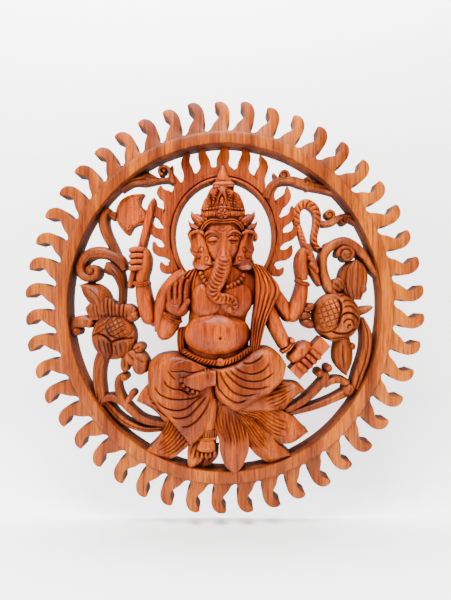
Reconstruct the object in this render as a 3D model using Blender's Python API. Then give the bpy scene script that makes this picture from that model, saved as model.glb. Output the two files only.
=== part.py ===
"""Round pierced wall panel, carved from one hardwood board.

A flat ring carries hooked flame rays outside. Inside it a seated figure with an elephant's
head and four arms rests on lotus petals before a flaming halo, between two flower heads on
curling stems. All of it is one solid with a flat back.

Frame: metres, +X to the viewer's right, +Z up, the carving faces -Y. The back is the plane
y = 0, and the origin is on it, at the top of the ring, where the panel meets its wall fixing.
"""

import math

import bmesh
import bpy
from mathutils import Vector
from mathutils.geometry import tessellate_polygon

# Driving dimensions, in metres
OPENING_WIDTH = 0.3154
OPENING_HEIGHT = 0.3298
RING_WIDTH = 0.0118
RING_THICKNESS = 0.026
RAY_COUNT = 46
RAY_ROOT_WIDTH = 0.0022
RAY_LENGTH = 0.029
RAY_THICKNESS = 0.0235
# The gaps were stepped off by hand: where the first one is, in degrees counter-clockwise
# from the right, and how far their even spacing drifts, and where it drifts most
RAY_START = 0.66
RAY_DRIFT = 1.4
RAY_DRIFT_AT = 62.0
FIGURE_RELIEF = 0.038
RING_SEGMENTS = 56

# The carver's pattern: a full-size sheet squared in millimetres, read from its top left
# corner, x across and y down. Heights above the back are in the pattern's millimetres too.
PATTERN_OPENING_WIDTH = 315.4
PATTERN_OPENING_HEIGHT = 329.8
PATTERN_RELIEF = 38.0
PATTERN_CENTRE = (224.5, 307.6)
# The pattern was drawn by eye from straight in front, so what stands forward of the ring's
# face looks larger on it, and what lies deeper looks smaller.
SIGHT_POINT = (225.5, 300.0)
SIGHT_DISTANCE = 480.0
SIGHT_LEVEL = 26.0

ACROSS_SCALE = OPENING_WIDTH / PATTERN_OPENING_WIDTH
UP_SCALE = OPENING_HEIGHT / PATTERN_OPENING_HEIGHT
HEIGHT_SCALE = FIGURE_RELIEF / PATTERN_RELIEF
MOUNT_DROP = OPENING_HEIGHT / 2 + RING_WIDTH / 2
# Every shape starts this far behind the back plane, in pattern millimetres, and one cut
# then leaves the whole back flat.
BEHIND = -3.0
BACK_CUT_DEPTH = 0.02
BACK_CUT_MARGIN = 0.1
# Share of each shape's full number of facets that the solid keeps
FINENESS = 0.4

WOOD_COLOUR = (0.42, 0.16, 0.06, 1.0)
WOOD_ROUGHNESS = 0.42


for old in list(bpy.data.objects):
    bpy.data.objects.remove(old)

blanks = bpy.data.collections.new("carved_shapes")
bpy.context.scene.collection.children.link(blanks)


# From the pattern to the panel's frame

def on_plan(point, level):
    """Across and up from the ring's centre, in pattern mm, of a point drawn on the sheet."""
    draw_in = 1 - (level - SIGHT_LEVEL) / SIGHT_DISTANCE
    across = SIGHT_POINT[0] + (point[0] - SIGHT_POINT[0]) * draw_in - PATTERN_CENTRE[0]
    up = PATTERN_CENTRE[1] - SIGHT_POINT[1] - (point[1] - SIGHT_POINT[1]) * draw_in
    return across, up


def in_frame(across, up, height):
    return Vector((across * ACROSS_SCALE, -height * HEIGHT_SCALE, up * UP_SCALE - MOUNT_DROP))


def new_shape(name, verts, faces, collection=blanks):
    """One closed shell with its faces pointing out."""
    mesh = bpy.data.meshes.new(name)
    mesh.from_pydata([tuple(v) for v in verts], [], faces)
    bm = bmesh.new()
    bm.from_mesh(mesh)
    bmesh.ops.recalc_face_normals(bm, faces=bm.faces)
    bm.to_mesh(mesh)
    bm.free()
    obj = bpy.data.objects.new(name, mesh)
    collection.objects.link(obj)
    obj.hide_render = True
    obj.display_type = "WIRE"
    return obj


# Curves on the pattern

def smooth(points, count):
    """count + 1 points, evenly spaced, on a smooth curve through the given points."""
    if len(points) == 2:
        fine = [[a + (b - a) * k / 24 for a, b in zip(*points)] for k in range(25)]
    else:
        first = [2 * a - b for a, b in zip(points[0], points[1])]
        last = [2 * a - b for a, b in zip(points[-1], points[-2])]
        knots = [first, *points, last]
        fine = [list(points[0])]
        for k in range(1, len(knots) - 2):
            a, b, c, d = knots[k - 1:k + 3]
            for step in range(1, 13):
                t = step / 12
                fine.append([
                    0.5 * (2 * q + (r - p) * t + (2 * p - 5 * q + 4 * r - s) * t * t
                           + (3 * q - p - 3 * r + s) * t ** 3)
                    for p, q, r, s in zip(a, b, c, d)
                ])
    run = [0.0]
    for a, b in zip(fine, fine[1:]):
        run.append(run[-1] + math.dist(a[:2], b[:2]))
    out = []
    k = 0
    for i in range(count + 1):
        goal = run[-1] * i / count
        while k < len(run) - 2 and run[k + 1] < goal:
            k += 1
        span = run[k + 1] - run[k] or 1.0
        t = min(max((goal - run[k]) / span, 0.0), 1.0)
        out.append([a + (b - a) * t for a, b in zip(fine[k], fine[k + 1])])
    return out


def two_sides(path, count):
    """The two edges of a band whose path points are (x, y, half width)."""
    line = smooth(path, count)
    left, right = [], []
    for i, (x, y, half) in enumerate(line):
        before = line[max(i - 1, 0)]
        after = line[min(i + 1, count)]
        dx, dy = after[0] - before[0], after[1] - before[1]
        length = math.hypot(dx, dy) or 1.0
        left.append((x + dy / length * half, y - dx / length * half))
        right.append((x - dy / length * half, y + dx / length * half))
    return left, right


# Cross-section rules: share of the crown's height at v, from 0 to 1 across

def rounded(v):
    return math.sqrt(max(0.0, 1 - (2 * v - 1) ** 2))


def domed(v):
    return 1 - (2 * v - 1) ** 2


def veined(v):
    """Domed, with a sunk midrib."""
    return domed(v) * (0.55 if abs(v - 0.5) < 0.01 else 1.0)


def pleated(folds):
    """Domed cloth or petal with ridges, one for each fold."""
    def rule(v):
        ridge = 0.5 - 0.5 * math.cos(2 * math.pi * folds * v)
        return 0.35 + 0.4 * domed(v) + 0.25 * ridge
    return rule


def ridged(folds):
    """Cloth that falls from the inner to the outer edge in raised folds."""
    def rule(v):
        return 0.75 * (1 - v ** 1.5) + 0.25 * (0.5 - 0.5 * math.cos(2 * math.pi * folds * v))
    return rule


def cupped(v):
    """A raised rim round a sunk middle."""
    return (2 * v - 1) ** 2


def grooved(v):
    """Two rounded ridges with a groove between."""
    return 0.45 + 0.55 * abs(math.sin(2 * math.pi * v))


def facets(full, least):
    """How many facets the solid keeps of a shape's full number."""
    return max(least, round(full * FINENESS))


# Shape builders, all closed

def relief(name, side_a, side_b, along, across, edge, crown, rule=domed, low=BEHIND):
    """A carved patch between two edges: walls up to edge, then a surface up to crown.

    edge and crown are heights, or pairs of heights for the start and the end of the patch."""
    along = facets(along, 2)
    edges = edge if isinstance(edge, tuple) else (edge, edge)
    crowns = crown if isinstance(crown, tuple) else (crown, crown)
    level = sum(edges) / 2
    line_a = [on_plan(p, level) for p in smooth(side_a, along)]
    line_b = [on_plan(p, level) for p in smooth(side_b, along)]
    verts, top = [], []
    for i in range(along + 1):
        u = i / along
        rim = edges[0] + (edges[1] - edges[0]) * u
        rise = crowns[0] + (crowns[1] - crowns[0]) * u - rim
        row = []
        for j in range(across + 1):
            v = (1 - math.cos(math.pi * j / across)) / 2 if rule is rounded else j / across
            x = line_a[i][0] + (line_b[i][0] - line_a[i][0]) * v
            z = line_a[i][1] + (line_b[i][1] - line_a[i][1]) * v
            row.append(len(verts))
            verts.append(in_frame(x, z, rim + rise * rule(v)))
        top.append(row)
    faces = []
    for i in range(along):
        for j in range(across):
            faces.append((top[i][j], top[i][j + 1], top[i + 1][j + 1], top[i + 1][j]))
    loop = top[0] + [row[-1] for row in top[1:]] + top[-1][-2::-1] + [row[0] for row in top[-2:0:-1]]
    floor = {}
    for index in loop:
        floor[index] = len(verts)
        verts.append(Vector((verts[index].x, -low * HEIGHT_SCALE, verts[index].z)))
    for a, b in zip(loop, loop[1:] + loop[:1]):
        faces.append((a, b, floor[b], floor[a]))
    faces.append([floor[index] for index in loop])
    return new_shape(name, verts, faces)


def band(name, path, along, across, edge, crown, rule=rounded, low=BEHIND):
    """A carved strip along a path of (x, y, half width)."""
    left, right = two_sides(path, 2 * along)
    return relief(name, left, right, along, facets(across, 2), edge, crown, rule, low)


def dome(name, centre, half_across, half_up, edge, crown, turn=0.0, sides=12, rows=3, low=BEHIND):
    """An oval boss: straight walls up to edge, then half an ellipsoid up to crown."""
    sides = facets(sides, 6)
    rows = facets(rows, 1)
    cx, cz = on_plan(centre, (edge + crown) / 2)
    cos_turn, sin_turn = math.cos(math.radians(turn)), math.sin(math.radians(turn))
    verts, rings = [], []
    levels = [(1.0, low)]
    levels += [(math.cos(math.pi / 2 * r / rows), edge + (crown - edge) * math.sin(math.pi / 2 * r / rows))
               for r in range(rows)]
    for share, height in levels:
        ring = []
        for k in range(sides):
            a = 2 * math.pi * k / sides
            x, z = half_across * share * math.cos(a), half_up * share * math.sin(a)
            ring.append(len(verts))
            verts.append(in_frame(cx + x * cos_turn - z * sin_turn, cz + x * sin_turn + z * cos_turn,
                                  height))
        rings.append(ring)
    tip = len(verts)
    verts.append(in_frame(cx, cz, crown))
    faces = [list(reversed(rings[0]))]
    for lower, upper in zip(rings, rings[1:]):
        for k in range(sides):
            m = (k + 1) % sides
            faces.append((lower[k], lower[m], upper[m], upper[k]))
    for k in range(sides):
        faces.append((rings[-1][k], rings[-1][(k + 1) % sides], tip))
    return new_shape(name, verts, faces)


def tube(name, path, count, sides=8, ripple=0.0):
    """A round limb through (x, y, radius, height) points; ripple cuts rings into it."""
    count = facets(count, 3)
    line = smooth(path, count)
    centres = []
    for x, y, radius, height in line:
        px, pz = on_plan((x, y), height)
        centres.append((Vector((px, height, pz)), radius))
    verts, rings = [], []
    for i, (centre, radius) in enumerate(centres):
        heading = (centres[min(i + 1, count)][0] - centres[max(i - 1, 0)][0]).normalized()
        side = heading.cross(Vector((0, 1, 0))).normalized()
        front = side.cross(heading).normalized()
        if ripple and i % 2:
            radius -= ripple
        ring = []
        for k in range(sides):
            a = 2 * math.pi * (k + 0.5) / sides
            spot = centre + side * radius * math.cos(a) + front * radius * math.sin(a)
            ring.append(len(verts))
            verts.append(in_frame(spot.x, spot.z, spot.y))
        rings.append(ring)
    faces = [list(reversed(rings[0])), list(rings[-1])]
    for lower, upper in zip(rings, rings[1:]):
        for k in range(sides):
            m = (k + 1) % sides
            faces.append((lower[k], lower[m], upper[m], upper[k]))
    return new_shape(name, verts, faces)


def plate(name, outline, height, holes=(), low=BEHIND):
    """A flat-faced sawn shape; outline and holes are (across, up) from the ring's centre."""
    loops = [list(outline), *[list(hole) for hole in holes]]
    flat = [Vector((x, z, 0)) for loop in loops for x, z in loop]
    triangles = tessellate_polygon([[Vector((x, z, 0)) for x, z in loop] for loop in loops])
    count = len(flat)
    verts = [in_frame(p.x, p.y, height) for p in flat] + [in_frame(p.x, p.y, low) for p in flat]
    faces = [tuple(t) for t in triangles] + [tuple(i + count for i in reversed(t)) for t in triangles]
    start = 0
    for loop in loops:
        size = len(loop)
        for k in range(size):
            a, b = start + k, start + (k + 1) % size
            faces.append((a, b, b + count, a + count))
        start += size
    return new_shape(name, verts, faces)


# The ring and its rays

def ring_oval(outward, angle):
    """A point in pattern mm on the opening's oval, moved outward by a length in metres."""
    half_across = OPENING_WIDTH / 2 + outward
    half_up = OPENING_HEIGHT / 2 + outward
    return half_across / ACROSS_SCALE * math.cos(angle), half_up / UP_SCALE * math.sin(angle)


# One hooked ray, as shares of its pitch (counter-clockwise) and of its length (outward)
RAY_SHAPE = [
    (0.49, -0.02), (0.24, 0.2), (-0.02, 0.47), (0.01, 0.7), (0.15, 0.92), (-0.03, 0.99), (-0.28, 0.9),
    (-0.43, 0.62), (-0.34, 0.13),
]


def make_ring():
    angles = [2 * math.pi * k / RING_SEGMENTS for k in range(RING_SEGMENTS)]
    height = RING_THICKNESS / HEIGHT_SCALE
    outer = [ring_oval(RING_WIDTH, a) for a in angles]
    inner = [ring_oval(0.0, a) for a in angles]
    plate("ring", outer, height, [inner])


def make_rays():
    pitch = 2 * math.pi / RAY_COUNT
    outline = []
    for k in range(RAY_COUNT):
        middle = pitch * (k + 0.5) + math.radians(RAY_START)
        middle += math.radians(RAY_DRIFT) * math.cos(middle - math.radians(RAY_DRIFT_AT))
        for counter_clockwise, out in RAY_SHAPE[::-1]:
            angle = middle + counter_clockwise * pitch
            outline.append(ring_oval(RING_WIDTH + RAY_ROOT_WIDTH + out * RAY_LENGTH, angle))
    angles = [2 * math.pi * k / RING_SEGMENTS for k in range(RING_SEGMENTS)]
    hole = [ring_oval(RING_WIDTH / 2, a) for a in angles[::2]]
    plate("rays", outline, RAY_THICKNESS / HEIGHT_SCALE, [hole])


# Halo: a band round an oval opening, with flames outside

HALO_LEVEL = 12.0
HALO_CENTRE = (223.5, 236.0)
HALO_OPENING = (48.5, 55.0)
HALO_STEPS = 30
# Gap, flame tip, gap, ... from the figure's right shoulder over the top to the left one
FLAME_LINE = [
    (174, 277), (160.7, 262), (170, 260.5), (153.5, 241.4), (163.8, 244.4), (151.5, 222.3),
    (163.5, 226), (153, 198.5), (163.8, 207.7), (160.7, 185.5), (173, 190), (172.5, 165.2),
    (182, 182), (189.3, 151.6), (196.8, 173), (204.8, 145.7), (213.7, 167), (222.5, 143.5),
    (233.9, 169.6), (242.4, 146.3), (252.6, 174.2), (259.9, 155.3), (265, 188), (273, 173),
    (275, 198.5), (287, 186.5), (279, 216), (292, 205.5), (283.2, 231), (295.4, 224.5),
    (280.9, 246.5), (291.7, 245), (272.5, 264), (283.5, 267), (272, 279),
]
FLAME_BULGE = 1.8
HALO_FOOT = [(262, 296), (224, 304), (186, 296)]


def flame_outline():
    """The flames' curved sides, and the band's foot hidden behind the body."""
    outline = []
    for k in range(0, len(FLAME_LINE) - 2, 2):
        before, tip, after = (Vector(FLAME_LINE[k + n]) for n in range(3))
        axis = (tip - (before + after) / 2).normalized()
        square = Vector((-axis.y, axis.x))
        if square.dot(before - after) < 0:
            square = -square
        outline += [before, before.lerp(tip, 0.45) + square * FLAME_BULGE, tip]
        outline.append(after.lerp(tip, 0.45) - square * FLAME_BULGE)
    return [*outline, Vector(FLAME_LINE[-1]), *(Vector(p) for p in HALO_FOOT)]


def halo_oval(outward, angle):
    across = HALO_CENTRE[0] + (HALO_OPENING[0] + outward) * math.cos(angle)
    return across, HALO_CENTRE[1] - (HALO_OPENING[1] + outward) * math.sin(angle)


def make_halo():
    turns = [2 * math.pi * k / HALO_STEPS for k in range(HALO_STEPS)]
    opening = [on_plan(halo_oval(0, a), HALO_LEVEL) for a in turns]
    plate("halo", [on_plan(p, HALO_LEVEL) for p in flame_outline()], HALO_LEVEL, [opening])
    arc = [(*halo_oval(2.5, math.radians(a)), 2.2) for a in range(-45, 226, 9)]
    band("halo_bead", arc, 28, 2, HALO_LEVEL - 1, HALO_LEVEL + 2.5, domed, low=6)


# Head, headdress and trunk

EAR_RIM = 20.0


def make_head():
    face = [(223, 220, 17), (223, 228, 21.5), (223, 237, 21.8), (223, 246, 19), (223, 254, 15.5),
            (223, 262, 11.5), (222.5, 271, 8)]
    band("face", face, 15, 18, 13, 29)
    band("crown_dome", [(223, 231, 19), (223, 224, 22), (223, 217, 22.5), (222.7, 212, 20),
                        (222.7, 206, 20.5),
                        (222.5, 198, 18.5), (222.5, 191, 15), (222.5, 186, 12.5)], 15, 15, 12, (29, 24))
    band("crown_disc", [(223.5, 186.5, 10.8), (223.5, 181.5, 10.6)], 2, 8, 12, 23)
    band("crown_finial", [(223, 182.5, 7.5), (222.8, 176, 4.6), (222.5, 171, 2.6), (222.5, 165.5, 0.7)],
         4, 4, 12,
         (22, 16))
    band("headband", [(201.5, 231, 1.8), (208, 223.6, 1.8), (215.7, 220, 1.8), (223, 221.4, 1.8),
                      (231, 220.4, 1.8), (238, 223.4, 1.8), (244.5, 230, 1.8)], 10, 2, 22, 30.5, domed,
         low=10)
    band("fluted_band", [(202, 214.5, 2.2), (223, 216, 2.4), (243, 214.5, 2.2)], 10, 2, 20, 30, domed,
         low=10)
    band("bead_row", [(204, 207.5, 1.7), (223, 208.5, 1.9), (241, 207.5, 1.7)], 8, 2, 20, 28.5, domed,
         low=10)
    for name, path in {
        "wing_left_high": [(206, 227, 5), (199, 219, 4.2), (193, 211, 0.7)],
        "wing_left_low": [(205, 232, 5), (196, 226.5, 4.4), (188.3, 219.3, 0.7)],
        "wing_right_high": [(240, 226, 5), (247, 218, 4.2), (252.8, 209, 0.7)],
        "wing_right_low": [(241, 232, 5), (250, 226.5, 4.4), (256.8, 220, 0.7)],
    }.items():
        band(name, path, 4, 2, 14, (22, 17), domed)
    relief("ear_left", [(191, 230.5), (188.4, 238), (190.6, 250), (193, 262), (199, 270.5), (209, 269)],
           [(204, 230), (205.5, 240), (207.5, 248), (210, 256), (213, 261), (215, 264)],
           7, 4, 15, EAR_RIM, cupped)
    relief("ear_right", [(243, 230), (241.5, 240), (239.5, 248), (237, 256), (234, 261), (232, 264)],
           [(253.5, 230.5), (255.6, 238), (253.8, 250), (253.6, 260), (249, 269), (238, 270)],
           7, 4, 15, EAR_RIM, cupped)
    for name, path, rise in (
        ("brow_left", [(203.6, 236.5, 1.2), (210.7, 231.9, 1.5), (219, 236, 1.2)], (25.5, 30.5)),
        ("brow_right", [(227.3, 236, 1.2), (234.4, 231.2, 1.5), (242, 235, 1.2)], (30.5, 25.5)),
    ):
        band(name, path, 4, 2, 20, rise, domed, low=10)
    dome("eye_left", (212.3, 240.2), 6, 2.9, 24, 29.2, 4, 8, 2, low=10)
    dome("eye_right", (233.8, 239.0), 6, 2.9, 24, 29.2, -4, 8, 2, low=10)
    tube("trunk", [(223.4, 240, 6.5, 23), (223.6, 250, 8.5, 24), (223.6, 259, 9.6, 25.5),
                   (222.5, 268, 9.4, 27.5),
                   (219.7, 277, 8.8, 29), (215.8, 285, 8.4, 29.5), (214.3, 292, 7, 29.5),
                   (219.5, 298.2, 5.8, 29),
                   (227.5, 297.5, 5, 29), (234, 298.5, 4.6, 29), (235.6, 303, 4.2, 29),
                   (231.5, 307, 3.8, 28.5),
                   (226.5, 308, 3.2, 28)], 34, 7, 0.7)


# Body, belt and cloth

NECKLACE = [(200.5, 273), (202, 276), (204.5, 279.8), (207.5, 283), (243.6, 275), (241, 278.6),
            (237.5, 281.8),
            (233.8, 284), (229.8, 285.6)]


def make_body():
    torso = [(221, 262, 16), (221, 269, 30), (221, 279, 39), (221, 291, 38), (219, 305, 31),
             (217, 320, 29),
             (217, 340, 32), (217, 360, 30)]
    band("torso", torso, 12, 12, 12, 25)
    dome("chest_left", (206.5, 300), 17, 18, 17, 28, 0, 20, 4, low=5)
    dome("chest_right", (235, 299), 18, 18.5, 17, 28, 0, 20, 4, low=5)
    dome("belly", (217, 334.5), 33.5, 23, 18, 34, 0, 36, 9)
    for k, spot in enumerate(NECKLACE):
        dome(f"necklace_bead_{k}", spot, 2.1, 2.1, 26, 30, 0, 6, 1, low=14)
    band("belt", [(182, 351, 2.8), (191, 357, 2.8), (205, 361, 2.8), (221.3, 362.3, 2.8),
                  (238, 357.5, 2.8),
                  (252.8, 348.4, 2.8)], 12, 2, 26, 32, domed, low=8)
    band("cloth_edge", [(183, 327, 3.6), (181.6, 342, 4), (183, 357, 4)], 2, 2, 16, 21, domed)
    relief("sash", [(248, 264), (255, 277), (254.3, 300), (251.3, 325), (248.5, 351)],
           [(262, 266), (279.5, 288), (273.5, 306), (266.5, 323), (257.5, 353)], 7, 10, 22, 31,
           pleated(5))
    relief("shoulder_cloth", [(173, 302), (173.5, 288), (181, 277), (188, 271)],
           [(196, 303), (196, 290), (196.5, 280), (199, 270)], 4, 8, 18, 26, pleated(4))


# Arms and what they hold

def make_arms():
    # Raised right hand, palm out
    band("upper_arm_front", [(181, 277, 9), (168, 292, 9.5), (161.5, 309, 8.6), (160.5, 328, 7.5)], 5, 6,
         12, 23)
    band("forearm_front", [(157, 341.5, 3), (161, 334, 8.5), (167, 326, 9.6), (172.3, 315, 8.4)], 4, 6,
         20, 31)
    band("bracelet_front", [(163.3, 312.5, 1.7), (171, 318, 1.7), (180, 322.6, 1.7)], 3, 2, 28, 33.5,
         domed, low=12)
    dome("palm", (177, 307.5), 11, 11.5, 24, 31.5, 0, 10, 2)
    for name, path in {
        "finger_a": [(169.8, 304, 2.7), (169.3, 294, 2.7), (171.2, 284.3, 1.5)],
        "finger_b": [(174.9, 302, 2.8), (174.9, 290, 2.8), (177.4, 279, 1.6)],
        "finger_c": [(180.2, 302, 2.8), (180.8, 288, 2.8), (183.8, 274, 1.6)],
        "finger_d": [(185, 303, 2.5), (186, 290, 2.6), (188.6, 277, 1.5)],
        "thumb": [(181, 313, 3.2), (185.5, 306, 3), (188.6, 297.3, 1.7)],
    }.items():
        band(name, path, 3, 2, 24, (33, 31), domed, low=12)
    # Axe arm, behind on the left
    band("upper_arm_axe", [(178, 284, 8), (165, 300, 8), (153, 318, 6.5), (148, 327, 5)], 3, 4, 9, 17)
    band("forearm_axe", [(140.8, 281, 6.8), (142, 298, 8.4), (144.5, 315, 8), (148, 330, 3.4)], 5, 6, 12,
         22)
    band("bracelet_axe", [(132.6, 283.2, 2), (140.6, 284.6, 2), (148.7, 282.6, 2)], 2, 2, 18, 24, domed,
         low=6)
    dome("fist_axe", (143.2, 264), 6.6, 18, 14, 22.5, 0, 10, 2)
    for k in range(4):
        y = 251 + 6.2 * k
        band(f"axe_finger_{k}", [(142, y - 1, 2.9), (134, y - 1.6, 3.2), (127.6, y + 1.8, 2.2)], 3, 2, 17,
             24, domed,
             low=4)
    band("axe_handle", [(154, 198, 1.6), (152, 204, 3.2), (146.6, 225, 4), (140.8, 247, 4)], 3, 3, 11, 17)
    band("axe_handle_end", [(134.2, 270, 3.6), (131, 281, 3.4), (128, 290.5, 1.6)], 2, 3, 11, 16)
    relief("axe_blade", [(144, 193), (132, 195), (121, 202), (115.2, 214.6), (119.2, 226.8),
                         (127.4, 235)],
           [(147, 198), (142, 204), (145, 211), (145, 221), (135, 227), (129.4, 233.6)], 7, 3, 12, 10,
           domed)
    # Noose arm, behind on the right
    band("upper_arm_noose", [(262, 281, 9), (276, 298, 8.6), (287, 313, 7), (290, 322, 5)], 3, 4, 9, 18)
    band("forearm_noose", [(303.2, 281, 5.8), (300.6, 297, 7.8), (296, 313, 8), (287.5, 328, 3.2)], 5, 6,
         12, 22)
    band("bracelet_noose", [(296.4, 280.6, 2), (303, 283.6, 2), (310, 285.4, 2)], 2, 2, 18, 24, domed,
         low=6)
    dome("fist_noose", (301, 263), 6.4, 19, 14, 22, -8, 10, 2)
    for k in range(4):
        x, y = 303.5 + 2.1 * k, 247.5 + 6.2 * k
        band(f"noose_finger_{k}", [(x - 3, y - 2.6, 2.4), (x + 2.5, y + 1.4, 3), (x + 6.5, y + 7, 2)], 3,
             2, 17, 24,
             domed, low=4)
    band("noose_tail", [(309, 262, 4.5), (315, 274, 4), (320, 287, 1)], 3, 3, 12, 18)
    band("noose_stick", [(305, 247, 3.2), (301, 234, 2.8), (298, 222, 2.6)], 2, 3, 9, 14)
    band("noose_rope", [(298, 224, 2.6), (296.6, 213, 4), (299.6, 205.4, 4.4), (307.2, 203, 4.6),
                        (314.4, 208.4, 4.6),
                        (317.4, 217, 4), (315.8, 227, 3.4), (314.2, 238, 3.2), (316.4, 246, 3.2),
                        (321.6, 249.6, 3), (328, 247, 3)], 16, 3, 9, 15.5)
    # Lower left arm and the block in its hand
    band("forearm_low", [(264, 300, 7), (270.5, 314, 7.6), (277, 328, 7.2), (284, 343, 6.8)], 4, 6, 14,
         26)
    band("bracelet_low", [(281, 353, 2), (288, 348, 2), (294, 341, 2)], 2, 2, 20, 28, domed, low=6)
    dome("hand_low", (298, 353.5), 13.5, 9, 16, 26, -30, 10, 2)
    relief("block", [(289.6, 370), (320.4, 337)], [(300, 379.6), (330, 347)], 1, 2, 20, 22, domed)
    for k in range(4):
        x, y = 302 + 4.6 * k, 371 - 4.6 * k
        band(f"low_finger_{k}", [(x - 5, y - 5, 2.6), (x, y - 1, 3), (x + 3, y + 3.4, 2)], 2, 2, 20, 28,
             domed, low=6)


# Legs, feet and their drapery

def make_legs():
    dome("knee_left", (186, 371), 36, 18.5, 20, 34, 0, 30, 6)
    relief("drape_left", [(172, 366), (177, 376), (188, 384), (200, 384), (212, 378)],
           [(149, 366), (148, 384), (161.7, 411), (192, 443.5), (211.6, 417), (217, 392)],
           22, 8, 20, 36, ridged(4))
    dome("knee_right", (254, 365), 32, 17, 20, 34, 8, 30, 6)
    relief("drape_right", [(222, 362), (228, 373), (243, 379), (258, 376), (270, 366)],
           [(213, 362), (214.4, 388), (238.2, 412), (262, 396), (283, 380), (286, 364)],
           22, 8, 20, 35, ridged(4))
    band("foot_lap", [(214, 376, 7.6), (204, 378, 8.2), (194, 382, 7.6), (186, 384.6, 5.4)], 4, 6, 28,
         37.5, low=14)
    for k, spot in enumerate([(181.8, 381), (185, 386.2), (188.8, 389.8), (193, 392), (197.6, 393.4)]):
        dome(f"toe_lap_{k}", spot, 2.5, 2.5, 28, 36, 0, 6, 2, low=14)
    band("anklet_lap", [(206, 369, 1.6), (209.6, 376, 1.6), (208.6, 386, 1.6)], 3, 2, 30, 38, domed,
         low=14)
    band("shin_low", [(208, 392, 10), (207.4, 412, 9.8), (206.6, 436, 8.6)], 3, 6, 14, 25)
    band("anklet_low", [(196.6, 434.6, 2.2), (206.5, 437, 2.2), (216.4, 434.6, 2.2)], 2, 2, 18, 27, domed,
         low=6)
    band("foot_low", [(206.5, 434, 8), (206.3, 443, 9.4), (206, 451, 10)], 3, 6, 16, 27)
    for k in range(5):
        drop = 1.4 - 0.55 * (k - 2.2) ** 2 / 2
        dome(f"toe_low_{k}", (198 + 4.2 * k, 453 + drop), 2.3, 3, 18, 27, 0, 6, 2)


# Lotus seat

def make_lotus():
    dome("lotus_heart", (246, 402), 40, 19, 12, 22, 0, 14, 2)
    relief("petal_middle", [(219, 408), (217, 428), (219, 447), (226, 461), (234.6, 473)],
           [(246, 408), (249.8, 428), (248, 447), (243.6, 460), (236.6, 473)], 6, 8, (14, 24), (20, 28),
           pleated(4))
    relief("petal_right_low", [(238, 408), (242, 436), (259, 457), (275.6, 462.4), (290, 454.6)],
           [(252, 406), (262, 425), (270, 434), (279, 443.4), (291, 452)], 6, 6, (13, 24), (20, 28),
           pleated(3))
    relief("petal_right_mid", [(254, 404), (265, 426), (276, 440.4), (292, 442), (307.6, 431.6)],
           [(276, 400), (285, 410.6), (292, 416.6), (300.6, 425), (309, 428.4)], 6, 6, (13, 20), (20, 24),
           pleated(3))
    relief("petal_right_high", [(262, 414), (276, 411.6), (288.6, 403.8), (296, 395), (304.4, 391.4)],
           [(260, 384), (274, 383), (286, 381.8), (296, 382.2), (305.8, 388.6)], 6, 6, (13, 18), (22, 22),
           pleated(3))
    relief("petal_left_low", [(196, 440), (186.6, 447), (175.8, 455.8), (164, 459.8), (154, 456.6),
                              (145, 451.4)],
           [(172, 404), (168, 422), (158.4, 434), (152, 442.4), (145.8, 448.6)], 6, 6, (14, 24), (20, 28),
           pleated(3))
    relief("petal_left_high", [(170, 428), (152, 408.6), (138.6, 403.6)],
           [(156, 378), (142.4, 389.4), (137, 400.6)], 4, 4, (12, 16), (20, 18), pleated(2))
    relief("petal_foot", [(187.6, 470.5), (189, 458), (193, 442)],
           [(199.6, 473), (210, 465.6), (217, 442)], 3, 4, (18, 14), (22, 18), pleated(2))


# Flower heads, leaves and stems

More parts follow.
